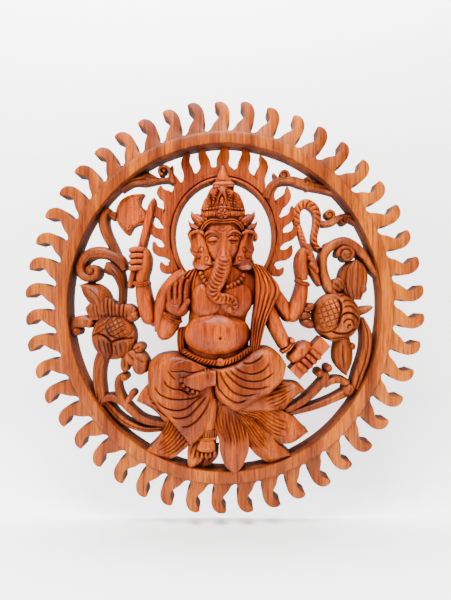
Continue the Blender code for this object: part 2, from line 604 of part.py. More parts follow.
def make_left_flower():
    dome("bud_left", (112.6, 335), 24, 24, 12, 26, 0, 24, 4)
    dome("bud_left_net", (120.5, 326), 13.6, 11.6, 20, 30, -10, 16, 4, low=6)
    dome("bud_left_petal_low", (101.5, 346), 11, 12, 18, 28, 20, 10, 2, low=6)
    dome("bud_left_petal_side", (97, 330), 7.5, 12, 18, 27, -25, 10, 2, low=6)
    dome("bud_left_petal_right", (119, 346), 14, 11, 18, 27, 15, 10, 2, low=6)
    relief("sepals_left", [(88, 298), (91, 308), (94, 318)], [(131, 304), (131, 312), (130, 320)], 2, 10,
           14, 24,
           pleated(5))
    relief("leaf_left_big", [(90, 308), (83.6, 297), (80.4, 285)],
           [(113, 306), (110.4, 293), (100, 285), (90, 282), (81.6, 283)], 5, 4, 12, 20, veined)
    relief("leaf_left_acanthus", [(111, 310), (112, 296), (108.6, 283), (103.6, 272.6)],
           [(127.6, 310), (125.6, 294), (123.6, 278), (118, 265.6), (111, 261.6)], 5, 6, 12, 21,
           pleated(3))
    band("scroll_left", [(123, 270, 4), (117.4, 259.4, 5.6), (107, 253, 6.6), (95, 252, 6.6),
                         (85, 257, 6.4),
                         (82, 266, 6.2), (85, 274, 5.4)], 12, 4, 12, 20)
    dome("scroll_left_eye", (91, 270.6), 9.4, 9.6, 14, 24, 0, 10, 2)
    band("horn_left", [(121, 264, 3.6), (112, 246, 4.2), (104.4, 232, 5), (102, 219.6, 5),
                       (105, 212, 4.4),
                       (111.6, 210.6, 3.4)], 9, 4, 10, 19)
    dome("horn_left_ball", (112, 214.6), 4.6, 4.6, 10, 18, 0, 8, 2)
    dome("leaf_left_small", (130, 316), 8.6, 5.6, 12, 20, 30, 8, 2)
    band("tendril_left", [(94, 324, 4), (82, 324.6, 4.6), (73, 327.6, 4.2), (64, 332, 4.6)], 4, 3, 10, 18)
    for name, path in {
        "leaf_left_lobe_high": [(120, 346, 6), (134, 349, 6.4), (145, 357, 6.6), (151, 367, 3.4)],
        "leaf_left_lobe_mid": [(120, 350, 6), (132, 359, 6.4), (140, 368, 6), (146, 375, 3)],
        "leaf_left_lobe_low": [(118, 352, 5), (122.6, 361, 4.6), (125, 368, 4.4), (126, 373.6, 2.6)],
    }.items():
        band(name, path, 6, 2, 12, 20, domed)
    band("stem_left_main", [(107, 346, 8.6), (101, 364, 8.4), (98, 380, 6.8), (97.4, 394, 5.4),
                            (97, 406, 4.4)], 6, 8,
         12, 21, grooved)
    band("stem_left_high", [(174, 424.6, 3.4), (160, 423.4, 3.6), (147, 420.6, 3.8), (134, 414.6, 4),
                            (125.4, 406, 4),
                            (117, 397.6, 3.8), (108, 395.6, 3.6), (101, 401, 3.6), (96.4, 408, 4)], 14, 3,
         10, 18)
    band("stem_left_low", [(174, 426, 3.2), (150, 429.6, 3.2), (134.6, 426, 3.6), (122, 419.4, 3.8),
                           (112.6, 410.6, 3.8), (104.6, 401.6, 3.8)], 10, 3, 9, 16)
    band("hook_left", [(125, 406, 3.6), (118.4, 395, 3.8), (117, 385, 3.2), (119.4, 377.6, 3),
                       (125, 375.6, 3.6)], 7,
         3, 11, 19)
    band("nub_left", [(125, 404, 3.4), (130, 398.6, 3.2), (136, 393, 3)], 2, 2, 10, 16, domed)


def make_right_flower():
    dome("bud_right", (339, 316), 25, 26, 12, 26, 0, 24, 4)
    dome("bud_right_net", (326.6, 313), 12.6, 17.8, 20, 30, -14, 18, 4, low=6)
    dome("bud_right_petal_high", (351, 303), 12, 10, 18, 28, -25, 10, 2, low=6)
    dome("bud_right_petal_side", (351.6, 321), 12, 9, 18, 28, 10, 10, 2, low=6)
    dome("bud_right_petal_low", (335, 334), 16, 8, 18, 26, 12, 10, 2, low=6)
    relief("leaf_right_big", [(336, 294), (338, 281), (342, 268.6), (350, 260)],
           [(368, 293), (366.5, 281), (367, 270), (362, 262), (352, 259)], 8, 8, 12, 22, pleated(4))
    dome("leaf_right_lobe", (365, 289), 5.6, 6.6, 12, 20, 30, 8, 2)
    dome("leaf_right_small", (335.6, 286), 6, 7.6, 12, 20, 20, 8, 2)
    band("arch_right", [(336, 297, 4), (326, 281, 4.2), (321, 266, 4.2), (322.6, 252, 4.6),
                        (332, 242.4, 5.4),
                        (344, 240, 6.2), (355, 245, 6), (364, 255, 5), (372, 266, 4.6), (383, 278, 4)],
         16, 4, 12, 20)
    dome("arch_right_eye", (347.6, 254), 9.8, 9.4, 14, 23, 0, 10, 2)
    dome("rope_foot", (328, 245.6), 4, 3.8, 10, 18, 0, 8, 2)
    for k, spot in enumerate([(308.6, 306.6), (304.6, 315.4), (308.4, 325)]):
        dome(f"leaf_right_lobe_{k}", spot, 7.6, 5.4, 12, 20, 25 * (k - 1), 12, 3)
    band("hook_right", [(358, 312, 4.4), (367, 309, 3.6), (374, 305.6, 2)], 3, 3, 11, 18)
    relief("leaf_right_low", [(334, 338), (332.6, 355), (338, 367), (344.6, 375.6)],
           [(352, 338), (353.4, 354), (351.4, 366), (346.6, 375.6)], 5, 4, 12, 20, veined)
    dome("curl_right", (352.6, 346), 4.6, 4.2, 10, 18, 0, 8, 2)
    band("stem_right_main", [(361, 318, 4.6), (368.4, 336, 6.4), (368.6, 352, 7.8), (364, 370, 7.6),
                             (356.6, 388, 6.6)],
         6, 8, 12, 20, grooved)
    band("stem_right_low", [(286, 413.6, 3.4), (302, 410, 3.6), (317, 405.4, 3.8), (332, 399, 3.8),
                            (346, 391, 4.6),
                            (362, 383, 5)], 8, 3, 9, 16)
    dome("stem_right_knob", (349.6, 390), 6.8, 7, 12, 22, 0, 10, 2)
    band("stem_right_high", [(286, 411, 3.4), (300, 403.4, 3.8), (310, 395, 4.2), (319, 386, 4.4),
                             (325, 379, 4.4),
                             (324.6, 371, 5)], 8, 3, 10, 18)
    dome("stem_right_ball", (319.4, 372), 5, 4.6, 10, 20, 0, 8, 2)
    dome("stem_right_bud", (329.4, 369.8), 4.8, 4.4, 10, 20, 0, 8, 2)
    band("stem_right_branch", [(323, 386, 3.6), (332, 379.6, 4), (342, 381, 4), (350, 388, 4.4)], 5, 3,
         10, 18)


def make_small_scrolls():
    band("scroll_top_left", [(176, 181, 4), (165, 181.4, 4), (154, 179.6, 4.6), (145, 178.6, 4.6),
                             (134, 182, 4.2),
                             (118, 191, 4)], 8, 3, 8, 15)
    dome("scroll_top_left_eye", (164.6, 170), 4.8, 4.6, 8, 16, 0, 8, 2)
    band("scroll_top_left_neck", [(171, 180, 3), (172, 172, 2.6), (166, 167, 2.6)], 3, 2, 8, 14, domed)
    dome("scroll_top_left_curl", (147.7, 176), 4.6, 4.4, 8, 16, 0, 8, 2)
    band("scroll_top_right", [(266, 198, 5), (271.6, 184.6, 4.4), (281, 180, 4), (292, 178.8, 4.2),
                              (302, 181, 5.6),
                              (312, 183.6, 4.6), (322, 186.4, 4), (336, 191, 4)], 9, 3, 8, 15)
    dome("scroll_top_right_eye", (284, 174.4), 4.6, 4.4, 8, 16, 0, 8, 2)
    dome("scroll_top_right_curl", (307, 184), 5.6, 4.8, 8, 16, 0, 8, 2)
    band("scroll_side", [(318, 222, 3.2), (325, 224, 3.2), (333, 221.4, 3.2), (340, 216.6, 3.2),
                         (348, 216.6, 3.6),
                         (363, 224, 4.4)], 8, 3, 8, 15)
    dome("scroll_side_eye", (329.4, 214.4), 4.8, 4.6, 8, 16, 0, 8, 2)
    dome("scroll_side_curl", (344.6, 220), 4.4, 4, 8, 16, 0, 8, 2)


def join_shapes():
    """One solid: every carved shape united, then the back cut flat."""
    blank = bpy.data.objects["ring"]
    blank.name = "carved_panel"
    blanks.objects.unlink(blank)
    bpy.context.scene.collection.objects.link(blank)
    blank.hide_render = False
    blank.display_type = "TEXTURED"
    union = blank.modifiers.new("unite", "BOOLEAN")
    union.operation = "UNION"
    union.operand_type = "COLLECTION"
    union.collection = blanks
    union.solver = "MANIFOLD"
    return blank


def back_cutter():
    """A block that takes away all that lies behind the back plane."""
    half_across = OPENING_WIDTH / 2 + RING_WIDTH + RAY_LENGTH + BACK_CUT_MARGIN
    half_up = OPENING_HEIGHT / 2 + RING_WIDTH + RAY_LENGTH + BACK_CUT_MARGIN
    verts = [Vector((x, y, z - MOUNT_DROP)) for y in (0, BACK_CUT_DEPTH)
             for x, z in ((-half_across, -half_up), (half_across, -half_up),
                          (half_across, half_up), (-half_across, half_up))]
    faces = [(0, 1, 2, 3), (7, 6, 5, 4), (0, 4, 5, 1), (1, 5, 6, 2), (2, 6, 7, 3), (3, 7, 4, 0)]
    return new_shape("back_cutter", verts, faces, bpy.context.scene.collection)


def wood():
    material = bpy.data.materials.new("oiled_hardwood")
    material.use_nodes = True
    shader = material.node_tree.nodes["Principled BSDF"]
    shader.inputs["Base Color"].default_value = WOOD_COLOUR
    shader.inputs["Roughness"].default_value = WOOD_ROUGHNESS
    shader.inputs["Metallic"].default_value = 0.0
    return material


make_ring()
make_rays()
make_halo()
make_small_scrolls()
make_left_flower()
make_right_flower()
make_lotus()
make_legs()
make_body()
make_arms()
make_head()

panel = join_shapes()
panel.data.materials.append(wood())
back = panel.modifiers.new("flat_back", "BOOLEAN")
back.operation = "DIFFERENCE"
back.object = back_cutter()
back.solver = "MANIFOLD"
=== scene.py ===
# %% [markdown]
# # A pierced and carved wall panel
# The real panel is one board of reddish hardwood: a ring with hooked flame rays, and inside it a
# seated figure with an elephant's head, a halo, a lotus and two flower heads, all pierced right
# through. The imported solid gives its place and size. This script carves the same drawing again at
# full fineness, part by part, and puts it in place of the solid.

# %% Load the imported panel
import math

import bmesh
import bpy
import numpy as np
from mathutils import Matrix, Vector


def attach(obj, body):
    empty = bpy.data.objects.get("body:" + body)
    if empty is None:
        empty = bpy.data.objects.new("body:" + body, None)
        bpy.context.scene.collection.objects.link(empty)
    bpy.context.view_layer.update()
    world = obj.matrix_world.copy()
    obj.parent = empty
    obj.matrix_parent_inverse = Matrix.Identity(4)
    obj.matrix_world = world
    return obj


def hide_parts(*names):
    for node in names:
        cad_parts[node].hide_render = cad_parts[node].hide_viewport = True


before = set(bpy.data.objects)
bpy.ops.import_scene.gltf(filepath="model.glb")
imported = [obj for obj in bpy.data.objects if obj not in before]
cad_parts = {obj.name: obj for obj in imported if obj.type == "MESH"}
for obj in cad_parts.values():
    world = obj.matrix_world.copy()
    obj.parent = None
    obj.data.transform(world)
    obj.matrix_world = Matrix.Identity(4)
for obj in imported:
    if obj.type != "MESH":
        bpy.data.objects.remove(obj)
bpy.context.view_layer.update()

# %% [markdown]
# ## The pattern sheet
# A carver draws the whole design on a sheet squared in millimetres and glues it on the board. The
# same sheet is used here: x to the right, y down, and heights above the flat back, all in mm. What
# stands nearer to the eye than the ring's face was drawn a little larger, so it is drawn in again
# by its height.

# %% From the sheet to the panel
MM = 0.001
SHEET_CENTRE = np.array([224.5, 307.6])
SIGHT_POINT = np.array([225.5, 300.0])
SIGHT_DISTANCE = 480.0
SIGHT_LEVEL = 26.0
OPENING_HALF = np.array([157.7, 164.9])
RING_WIDTH = 11.8
HANG_DROP = OPENING_HALF[1] + RING_WIDTH / 2
BEHIND = -3.0


def on_plan(points, level):
    """Across and up from the ring's centre, in mm, of points drawn on the sheet."""
    drawn = (np.asarray(points, float)[..., :2] - SIGHT_POINT) * (1 - (level - SIGHT_LEVEL) / SIGHT_DISTANCE)
    return (drawn + SIGHT_POINT - SHEET_CENTRE) * (1, -1)


def in_panel(across, up, height):
    """Metres in the panel's frame, from mm across, up and above the back."""
    return np.stack(np.broadcast_arrays(across, -1.0 * np.asarray(height), up - HANG_DROP), -1) * MM


# %% [markdown]
# ## Curves
# Every edge, stem and fold is a smooth curve through a few drawn points. A curve may carry more
# than x and y: a stem's points also give its half width and its height.

# %% Smooth curves
def fine_curve(points):
    """A dense polyline through the points, and its length so far at each of its own points."""
    points = np.asarray(points, float)
    if len(points) == 2:
        fine = np.linspace(points[0], points[1], 33)
    else:
        knots = np.vstack([2 * points[0] - points[1], points, 2 * points[-1] - points[-2]])
        t = np.linspace(0, 1, 13)[1:, None]
        fine = [points[:1]]
        for p, q, r, s in zip(knots, knots[1:], knots[2:], knots[3:]):
            fine.append(0.5 * (2 * q + (r - p) * t + (2 * p - 5 * q + 4 * r - s) * t ** 2
                               + (3 * q - p - 3 * r + s) * t ** 3))
        fine = np.vstack(fine)
    steps = np.hypot(*np.diff(fine[:, :2], axis=0).T)
    return fine, np.concatenate([[0.0], np.cumsum(steps)])


def along(points, shares):
    """The curve's points at the given shares of its length."""
    fine, run = fine_curve(points)
    where = np.asarray(shares) * run[-1]
    return np.stack([np.interp(where, run, column) for column in fine.T], 1)


def spaced(points, step):
    """The curve's points at about one step's distance."""
    count = max(2, round(fine_curve(points)[1][-1] / step))
    return along(points, np.linspace(0, 1, count + 1))


# %% [markdown]
# ## A carved shell
# Each form starts as a grid of points over the board. Walls go straight down from its rim to behind
# the back, as a chisel leaves them, so every form is a closed body that can be united with its
# neighbours later. SPACING sets how fine all the grids are.

# %% Closed shells
COARSE = 0.62
SPACING = 1.14


def solid_from(name, points, faces):
    mesh = bpy.data.meshes.new(name)
    mesh.from_pydata(points.tolist(), [], faces)
    bm = bmesh.new()
    bm.from_mesh(mesh)
    bmesh.ops.remove_doubles(bm, verts=bm.verts, dist=2e-6)
    bmesh.ops.recalc_face_normals(bm, faces=bm.faces)
    bm.to_mesh(mesh)
    bm.free()
    form = bpy.data.objects.new(name, mesh)
    bpy.context.scene.collection.objects.link(form)
    return form


def shell(name, across, up, height, low):
    """A grid of rows and columns over the board, closed with walls and a flat underside."""
    rows, columns = height.shape
    grid = in_panel(across, up, height).reshape(-1, 3)
    index = np.arange(rows * columns).reshape(rows, columns)
    faces = np.stack([index[:-1, :-1], index[:-1, 1:], index[1:, 1:], index[1:, :-1]], -1).reshape(-1, 4)
    rim = np.concatenate([index[0], index[1:, -1], index[-1, -2::-1], index[-2:0:-1, 0]])
    under = grid[rim]
    under[:, 1] = -low * MM
    floor = len(grid) + np.arange(len(rim))
    walls = np.stack([rim, np.roll(rim, -1), np.roll(floor, -1), floor], 1)
    return solid_from(name, np.vstack([grid, under]), faces.tolist() + walls.tolist() + [floor.tolist()])


# %% [markdown]
# ## How a form swells
# A rule says how high a form stands at v, from 0 at one edge to 1 at the other, and at u along it.
# Stems are rounded, petals are domed with ridges, cloth is soft with rolled edges.

# %% Swelling rules
def rounded(u, v):
    return np.sqrt(np.clip(1 - (2 * v - 1) ** 2, 0, 1))


def domed(u, v):
    return 1 - (2 * v - 1) ** 2


def soft(u, v):
    return (1 - (2 * v - 1) ** 4) ** 0.6


def flat(u, v):
    return np.ones_like(v)


def grooved(u, v):
    """Two rounded ridges side by side."""
    return 0.25 + 0.75 * np.abs(np.sin(2 * np.pi * v)) ** 0.6


def ribs(count, depth, base=domed):
    """Ridges side by side along the form, sharpest in their cuts."""
    def rule(u, v):
        return base(u, v) * (1 - depth) + depth * np.abs(np.sin(np.pi * count * v)) ** 0.55
    return rule


def twisted(turns, slant, depth):
    """The strands of a rope."""
    def rule(u, v):
        strand = np.abs(np.sin(np.pi * (u * turns + slant * v))) ** 0.6
        return rounded(u, v) * (1 - depth + depth * strand)
    return rule


def spread(value, u):
    """One value, or several spaced along u, as a column."""
    values = np.atleast_1d(np.asarray(value, float))
    return np.interp(u, np.linspace(0, 1, len(values)), values)


# %% [markdown]
# ## Patches, bands, bosses and limbs
# A leaf or a fold of cloth is a patch between two drawn edges. A stem, finger or cord is a band along
# one line. A bud or a toe is a boss, an oval swelling. The trunk is a limb, round all the way, since it
# stands free of the chest. Modelling by hand with cubes and bevels gives none of these: their edges
# are free curves and their surfaces carry relief a millimetre deep, so they are built as fine grids.

# %% Patches between two edges
def rolled_off(distance, radius):
    """How far a rounded arris drops at a distance from the edge."""
    inside = np.clip(1 - distance / radius, 0, 1)
    return radius * (1 - np.sqrt(1 - inside ** 2))


def close_to_edges(count):
    """Shares from 0 to 1 that lie closer together near both ends."""
    t = np.linspace(0, 1, count + 1)
    return 0.45 * t + 0.55 * (1 - np.cos(np.pi * t)) / 2


def patch(name, side_a, side_b, edge, crown, rule=domed, low=BEHIND, roll=0.5, step=COARSE, ends=False):
    """A carved surface between two drawn edges. edge and crown are heights, or lists along it.

    roll rounds the arris along both sides, and with ends=True at the two ends as well."""
    step *= SPACING
    length = max(fine_curve(side)[1][-1] for side in (side_a, side_b))
    rows = max(4, round(length / step))
    u = close_to_edges(rows) if ends else np.linspace(0, 1, rows + 1)
    level = float(np.mean(spread(edge, u)))
    line_a, line_b = on_plan(along(side_a, u), level), on_plan(along(side_b, u), level)
    width = np.hypot(*(line_b - line_a).T)
    v = close_to_edges(max(8, round(width.max() / step)))[None, :]
    u = u[:, None]
    width = width[:, None]
    across = line_a[:, :1] + (line_b[:, :1] - line_a[:, :1]) * v
    up = line_a[:, 1:] + (line_b[:, 1:] - line_a[:, 1:]) * v
    rim, top = spread(edge, u), spread(crown, u)
    height = rim + (top - rim) * rule(u, v * np.ones_like(u))
    if roll:
        height = height - rolled_off(np.minimum(v, 1 - v) * width, roll)
        if ends:
            height = height - rolled_off(np.minimum(u, 1 - u) * length, roll)
    return shell(name, across, up, height, low)


def band(name, path, drop, rule=rounded, low=BEHIND, caps="", step=COARSE):
    """A stem, finger or cord along (x, y, half width, crown height); caps rounds its ends."""
    step *= SPACING
    length = fine_curve(path)[1][-1]
    u = np.linspace(0, 1, max(6, round(length / step)) + 1)
    for end, share in (("<", 0.0), (">", 1.0)):
        if end in caps:
            reach = (path[0] if end == "<" else path[-1])[2] / length
            extra = reach * (1 - np.cos(np.linspace(0, np.pi / 2, 7)))
            u = np.concatenate([u, np.abs(share - extra)])
    u = np.unique(np.round(u, 6))
    line = along(path, u)
    ahead = along(path, np.clip(u + 0.004, 0, 1)) - along(path, np.clip(u - 0.004, 0, 1))
    square = np.stack([ahead[:, 1], -ahead[:, 0]], 1) / np.hypot(ahead[:, 0], ahead[:, 1])[:, None]
    half, crown = line[:, 2].copy(), line[:, 3]
    fall = np.ones_like(u)
    for end, gone in (("<", u * length), (">", (1 - u) * length)):
        if end in caps:
            near = np.clip(1 - gone / (path[0] if end == "<" else path[-1])[2], 0, 1)
            fall = fall * np.sqrt(1 - near ** 2)
    half = half * np.maximum(fall, 0.02)
    level = float(crown.mean() - drop / 2)
    left = on_plan(line[:, :2] + square * half[:, None], level)
    right = on_plan(line[:, :2] - square * half[:, None], level)
    columns = max(8, round(2.4 * line[:, 2].max() / step))
    v = (1 - np.cos(np.pi * np.linspace(0, 1, columns + 1)))[None, :] / 2
    across = left[:, :1] + (right[:, :1] - left[:, :1]) * v
    up = left[:, 1:] + (right[:, 1:] - left[:, 1:]) * v
    rim = (crown - drop)[:, None]
    height = rim + drop * fall[:, None] * rule(u[:, None], v * np.ones_like(u)[:, None])
    return shell(name, across, up, height, low)


def hoops(rows, sides):
    """The faces between rows of points that go all the way round."""
    ring = np.arange(sides)
    faces = []
    for row in range(rows):
        a, b = row * sides, (row + 1) * sides
        faces += np.stack([a + ring, a + np.roll(ring, -1), b + np.roll(ring, -1), b + ring], 1).tolist()
    return faces


def boss(name, centre, half, edge, crown, turn=0.0, low=BEHIND, power=2.0, skin=None, step=COARSE):
    """An oval swelling. skin(across, up) adds to its height in mm, in its own turned frame."""
    step *= SPACING
    half = np.asarray(half, float)
    sides = max(14, round(math.pi * half.sum() / step))
    rows = max(5, round(1.3 * half.max() / step))
    share = np.sin(np.linspace(math.pi / 2, 0, rows + 1))[:, None]
    angle = np.linspace(0, 2 * math.pi, sides, endpoint=False)[None, :]
    own_across, own_up = half[0] * share * np.cos(angle), half[1] * share * np.sin(angle)
    swelling = np.clip(1 - share ** power, 0, 1) ** (1 / power)
    height = edge + (crown - edge) * swelling * np.ones_like(angle)
    if skin:
        height = height + skin(own_across, own_up) * np.clip((1 - share) * 6, 0, 1)
    cos_turn, sin_turn = math.cos(math.radians(turn)), math.sin(math.radians(turn))
    middle = on_plan(centre, (edge + crown) / 2)
    across = middle[0] + own_across * cos_turn - own_up * sin_turn
    up = middle[1] + own_across * sin_turn + own_up * cos_turn
    top = in_panel(across, up, height)
    under = top[0].copy()
    under[:, 1] = -low * MM
    points = np.vstack([under, top[:-1].reshape(-1, 3), top[-1, :1]])
    faces = [list(range(sides))[::-1], *hoops(rows, sides)]
    tip = len(points) - 1
    faces += [[rows * sides + k, rows * sides + (k + 1) % sides, tip] for k in range(sides)]
    return solid_from(name, points, faces)


def limb(name, path, sides, step):
    """A round limb through (x, y, radius, height of its axis)."""
    step *= SPACING
    length = fine_curve(path)[1][-1]
    u = np.linspace(0, 1, max(8, round(length / step)) + 1)
    line = along(path, u)
    plan = np.array([on_plan(point, point[3]) for point in line])
    axis = np.stack([plan[:, 0], plan[:, 1], line[:, 3]], 1)
    ahead = np.gradient(axis, axis=0)
    ahead /= np.linalg.norm(ahead, axis=1)[:, None]
    side = np.cross(ahead, (0, 0, 1.0))
    side /= np.linalg.norm(side, axis=1)[:, None]
    front = np.cross(side, ahead)
    radius = line[:, 2]
    end = np.clip(1 - (1 - u) * length / radius[-1], 0, 1)
    radius = np.maximum(radius * np.sqrt(1 - end ** 2), 0.05)
    angle = 2 * np.pi * np.arange(sides) / sides
    spots = (axis[:, None] + side[:, None] * (radius[:, None] * np.cos(angle))[..., None]
             + front[:, None] * (radius[:, None] * np.sin(angle))[..., None])
    points = in_panel(spots[..., 0], spots[..., 1], spots[..., 2]).reshape(-1, 3)
    ring = np.arange(sides)
    ends = [ring[::-1].tolist(), ((len(u) - 1) * sides + ring).tolist()]
    return solid_from(name, points, ends + hoops(len(u) - 1, sides))


# %% [markdown]
# ## Cuts with the veining tool
# Folds, veins and wrinkles are thin V cuts over a form that is already there. Each cut is a drawn
# curve: points of the form near it sink, most in the middle of the cut, and nothing at its ends. A
# fold of cloth also stands proud on one side of its cut.

# %% V cuts
def points_of(form):
    """A form's points in metres, and their places across and up in mm."""
    spots = np.empty(len(form.data.vertices) * 3)
    form.data.vertices.foreach_get("co", spots)
    spots = spots.reshape(-1, 3)
    return spots, np.stack([spots[:, 0] / MM, spots[:, 2] / MM + HANG_DROP], 1)


def with_points(form, spots):
    form.data.vertices.foreach_set("co", spots.ravel())
    form.data.update()
    return form


def vein(form, lines, level, width, depth, lip=0.0, fade=0.14):
    """Cuts drawn curves into a form; lip lifts the left side of each."""
    spots, plan = points_of(form)
    front = spots[:, 1] < -1.0 * MM
    sink = np.zeros(len(spots))
    reach = max(width, 5.0 if lip else 0.0)
    for line in lines:
        cut = on_plan(spaced(line, 0.3), level)
        low, high = cut.min(0) - reach, cut.max(0) + reach
        near = np.flatnonzero(front & (plan > low).all(1) & (plan < high).all(1))
        if not len(near):
            continue
        away = plan[near, None] - cut[None]
        distance = np.hypot(away[..., 0], away[..., 1])
        nearest = distance.argmin(1)
        gap = distance[np.arange(len(near)), nearest]
        share = nearest / (len(cut) - 1)
        strength = np.clip(np.minimum(share, 1 - share) / fade, 0, 1) if fade else 1.0
        drop = depth * np.clip(1 - gap / width, 0, 1) * strength
        if lip:
            ahead = np.gradient(cut, axis=0)[nearest]
            offset = away[np.arange(len(near)), nearest]
            left = ahead[:, 0] * offset[:, 1] - ahead[:, 1] * offset[:, 0] > 0
            drop = drop - lip * left * np.exp(-gap / 2.2) * np.clip(gap / width, 0, 1) * strength
        sink[near] = np.where(np.abs(drop) > np.abs(sink[near]), drop, sink[near])
    spots[:, 1] += sink * MM
    return with_points(form, spots)


def dent(form, centre, half, depth, level):
    """Sinks a soft oval hollow into a form, or raises a swelling when depth is negative."""
    spots, plan = points_of(form)
    away = (((plan - on_plan(centre, level)) / half) ** 2).sum(1)
    spots[:, 1] += depth * MM * np.exp(-away * 1.5) * (spots[:, 1] < -1.0 * MM)
    return with_points(form, spots)


# %% [markdown]
# ## Sawn pieces
# The rays and the halo are fretsawn: a flat face, straight walls and an arris eased with a file. In
# Blender that is a circle whose points are moved to the drawn line, filled, extruded to the board's
# thickness and bevelled along its front rim.

# %% A fretsawn piece
def sawn(name, outline, height, arris, eased=None):
    """outline is (across, up) in mm. eased(across, up) picks the rim points whose edges are filed."""
    bpy.ops.object.select_all(action="DESELECT")
    bpy.ops.mesh.primitive_circle_add(vertices=len(outline))
    form = bpy.context.object
    form.name = name
    outline = np.asarray(outline)
    form.data.vertices.foreach_set("co", in_panel(outline[:, 0], outline[:, 1],
                                                  np.full(len(outline), BEHIND)).ravel())
    bpy.ops.object.mode_set(mode="EDIT")
    bpy.ops.mesh.select_all(action="SELECT")
    bpy.ops.mesh.edge_face_add()
    bpy.ops.mesh.extrude_region_move(TRANSFORM_OT_translate={"value": (0, -(height - BEHIND) * MM, 0)})
    if eased:
        bm = bmesh.from_edit_mesh(form.data)
        chosen = [edge for edge in bm.edges if edge.select and all(
            eased(vert.co.x / MM, vert.co.z / MM + HANG_DROP) for vert in edge.verts)]
        bpy.ops.mesh.select_all(action="DESELECT")
        for edge in chosen:
            edge.select_set(True)
        bmesh.update_edit_mesh(form.data)
    bpy.ops.mesh.bevel(offset=arris * MM, segments=2, affect="EDGES", clamp_overlap=False)
    bpy.ops.mesh.select_all(action="SELECT")
    bpy.ops.mesh.normals_make_consistent(inside=False)
    bpy.ops.object.mode_set(mode="OBJECT")
    return form


# %% [markdown]
# ## One carved piece from many forms
# On the board the forms grow into each other. Here a Boolean unites them and a second one saws the
# back flat. The forms are all closed and there are many, so the Manifold solver is used.

# %% Uniting forms
BOARD = 0.6
PIECES = []


def unite(name, forms, back=0.0):
    """Makes one piece of the forms, with a flat back at that height in mm."""
    bpy.ops.object.select_all(action="DESELECT")
    group = bpy.data.collections.new(name + "_forms")
    bpy.context.scene.collection.children.link(group)
    piece, others = forms[0], forms[1:]
    for form in others:
        form.users_collection[0].objects.unlink(form)
        group.objects.link(form)
    piece.name = name
    bpy.context.view_layer.objects.active = piece
    piece.select_set(True)
    if others:
        grown = piece.modifiers.new("grown_together", "BOOLEAN")
        grown.operation = "UNION"
        grown.operand_type = "COLLECTION"
        grown.collection = group
        grown.solver = "MANIFOLD"
        bpy.ops.object.modifier_apply(modifier=grown.name)
    bpy.ops.mesh.primitive_cube_add(size=BOARD, location=(0, BOARD / 2 - back * MM, -HANG_DROP * MM))
    saw = bpy.context.object
    bpy.context.view_layer.objects.active = piece
    sawed = piece.modifiers.new("back_sawn", "BOOLEAN")
    sawed.operation = "DIFFERENCE"
    sawed.object = saw
    sawed.solver = "MANIFOLD"
    bpy.ops.object.modifier_apply(modifier=sawed.name)
    for form in [*others, saw]:
        bpy.data.objects.remove(form)
    bpy.data.collections.remove(group)
    bpy.ops.object.select_all(action="DESELECT")
    piece.select_set(True)
    bpy.context.view_layer.objects.active = piece
    bpy.ops.object.shade_smooth_by_angle(angle=math.radians(38))
    PIECES.append(piece)
    triangles = sum(len(face.vertices) - 2 for face in piece.data.polygons)
    print(name, len(forms), "forms,", triangles, "triangles")
    return piece


# %% [markdown]
# ## Ring and rays
# The ring stands 2.5 mm proud of the rays. One hooked ray is drawn once, as an outline unrolled
# along the ring, and is then set out 46 times round the oval. The steps drift a little, as they do
# when they are stepped off by hand, and each ray differs a little in length.

# %% The ring
RAYS = 46
RAY_PITCH = 24.0
RAY_START = 0.66
RAY_DRIFT, RAY_DRIFT_AT = 1.4, 62.0
RAY_FOOT = RING_WIDTH + 2.2
RING_FACE, RAY_FACE = 26.0, 23.5


def on_ring(outward, angle):
    """Across and up of a point that far outside the opening's oval, in mm."""
    return np.stack([(OPENING_HALF[0] + outward) * np.cos(angle),
                     (OPENING_HALF[1] + outward) * np.sin(angle)], -1)


turns = np.linspace(0, 2 * np.pi, 256, endpoint=False)
section = [(RING_WIDTH, BEHIND), (RING_WIDTH, 25.2), (RING_WIDTH - 0.25, 25.75),
           (RING_WIDTH - 0.8, RING_FACE), (RING_WIDTH - 3.5, RING_FACE + 0.1), (3.5, RING_FACE + 0.1),
           (0.8, RING_FACE), (0.25, 25.75), (0, 25.2), (0, BEHIND)]
rows = []
for outward, height in section:
    hand = 0.25 * np.sin(5 * turns + outward) + 0.15 * np.sin(13 * turns)
    lift = 0.0 if height < 20 else 0.12 * np.sin(9 * turns + 0.7 * outward)
    plan = on_ring(outward + hand, turns)
    rows.append(in_panel(plan[:, 0], plan[:, 1], height + lift * np.ones_like(turns)))
count = len(turns)
ring_faces = []
for row in range(len(section)):
    a, b = row * count, ((row + 1) % len(section)) * count
    step_on = (np.arange(count) + 1) % count
    ring_faces += np.stack([a + np.arange(count), a + step_on, b + step_on, b + np.arange(count)],
                           1).tolist()
ring = solid_from("ring", np.vstack(rows), ring_faces)
print("ring", len(ring.data.vertices), "points")

# %% [markdown]
# ## Hooked rays
# On the real panel each ray is cut with a fretsaw and its edges are eased with a file. A ray is sawn
# here the same way from its drawn line, and the filed edge stops where the ray meets the ring.

# %% The rays
RAY_LINE = [(-12.4, -0.8), (-9.2, 0.8), (-7.5, 3), (-5.5, 6.5), (-3, 9.5), (-0.5, 12.5), (1, 15),
            (0.8, 18), (-0.5, 21.5), (-2.2, 24.5), (-3.4, 27), (-2, 28.6), (0.5, 29.2), (3.5, 28.8),
            (6.5, 26.8), (9, 23), (10.4, 18.5), (10.6, 14), (9.8, 9.5), (8.6, 6), (8.2, 3.5), (8.8, 1.2),
            (10.4, -0.3), (12.4, -0.8)]
ray_line = spaced(RAY_LINE, 0.9)


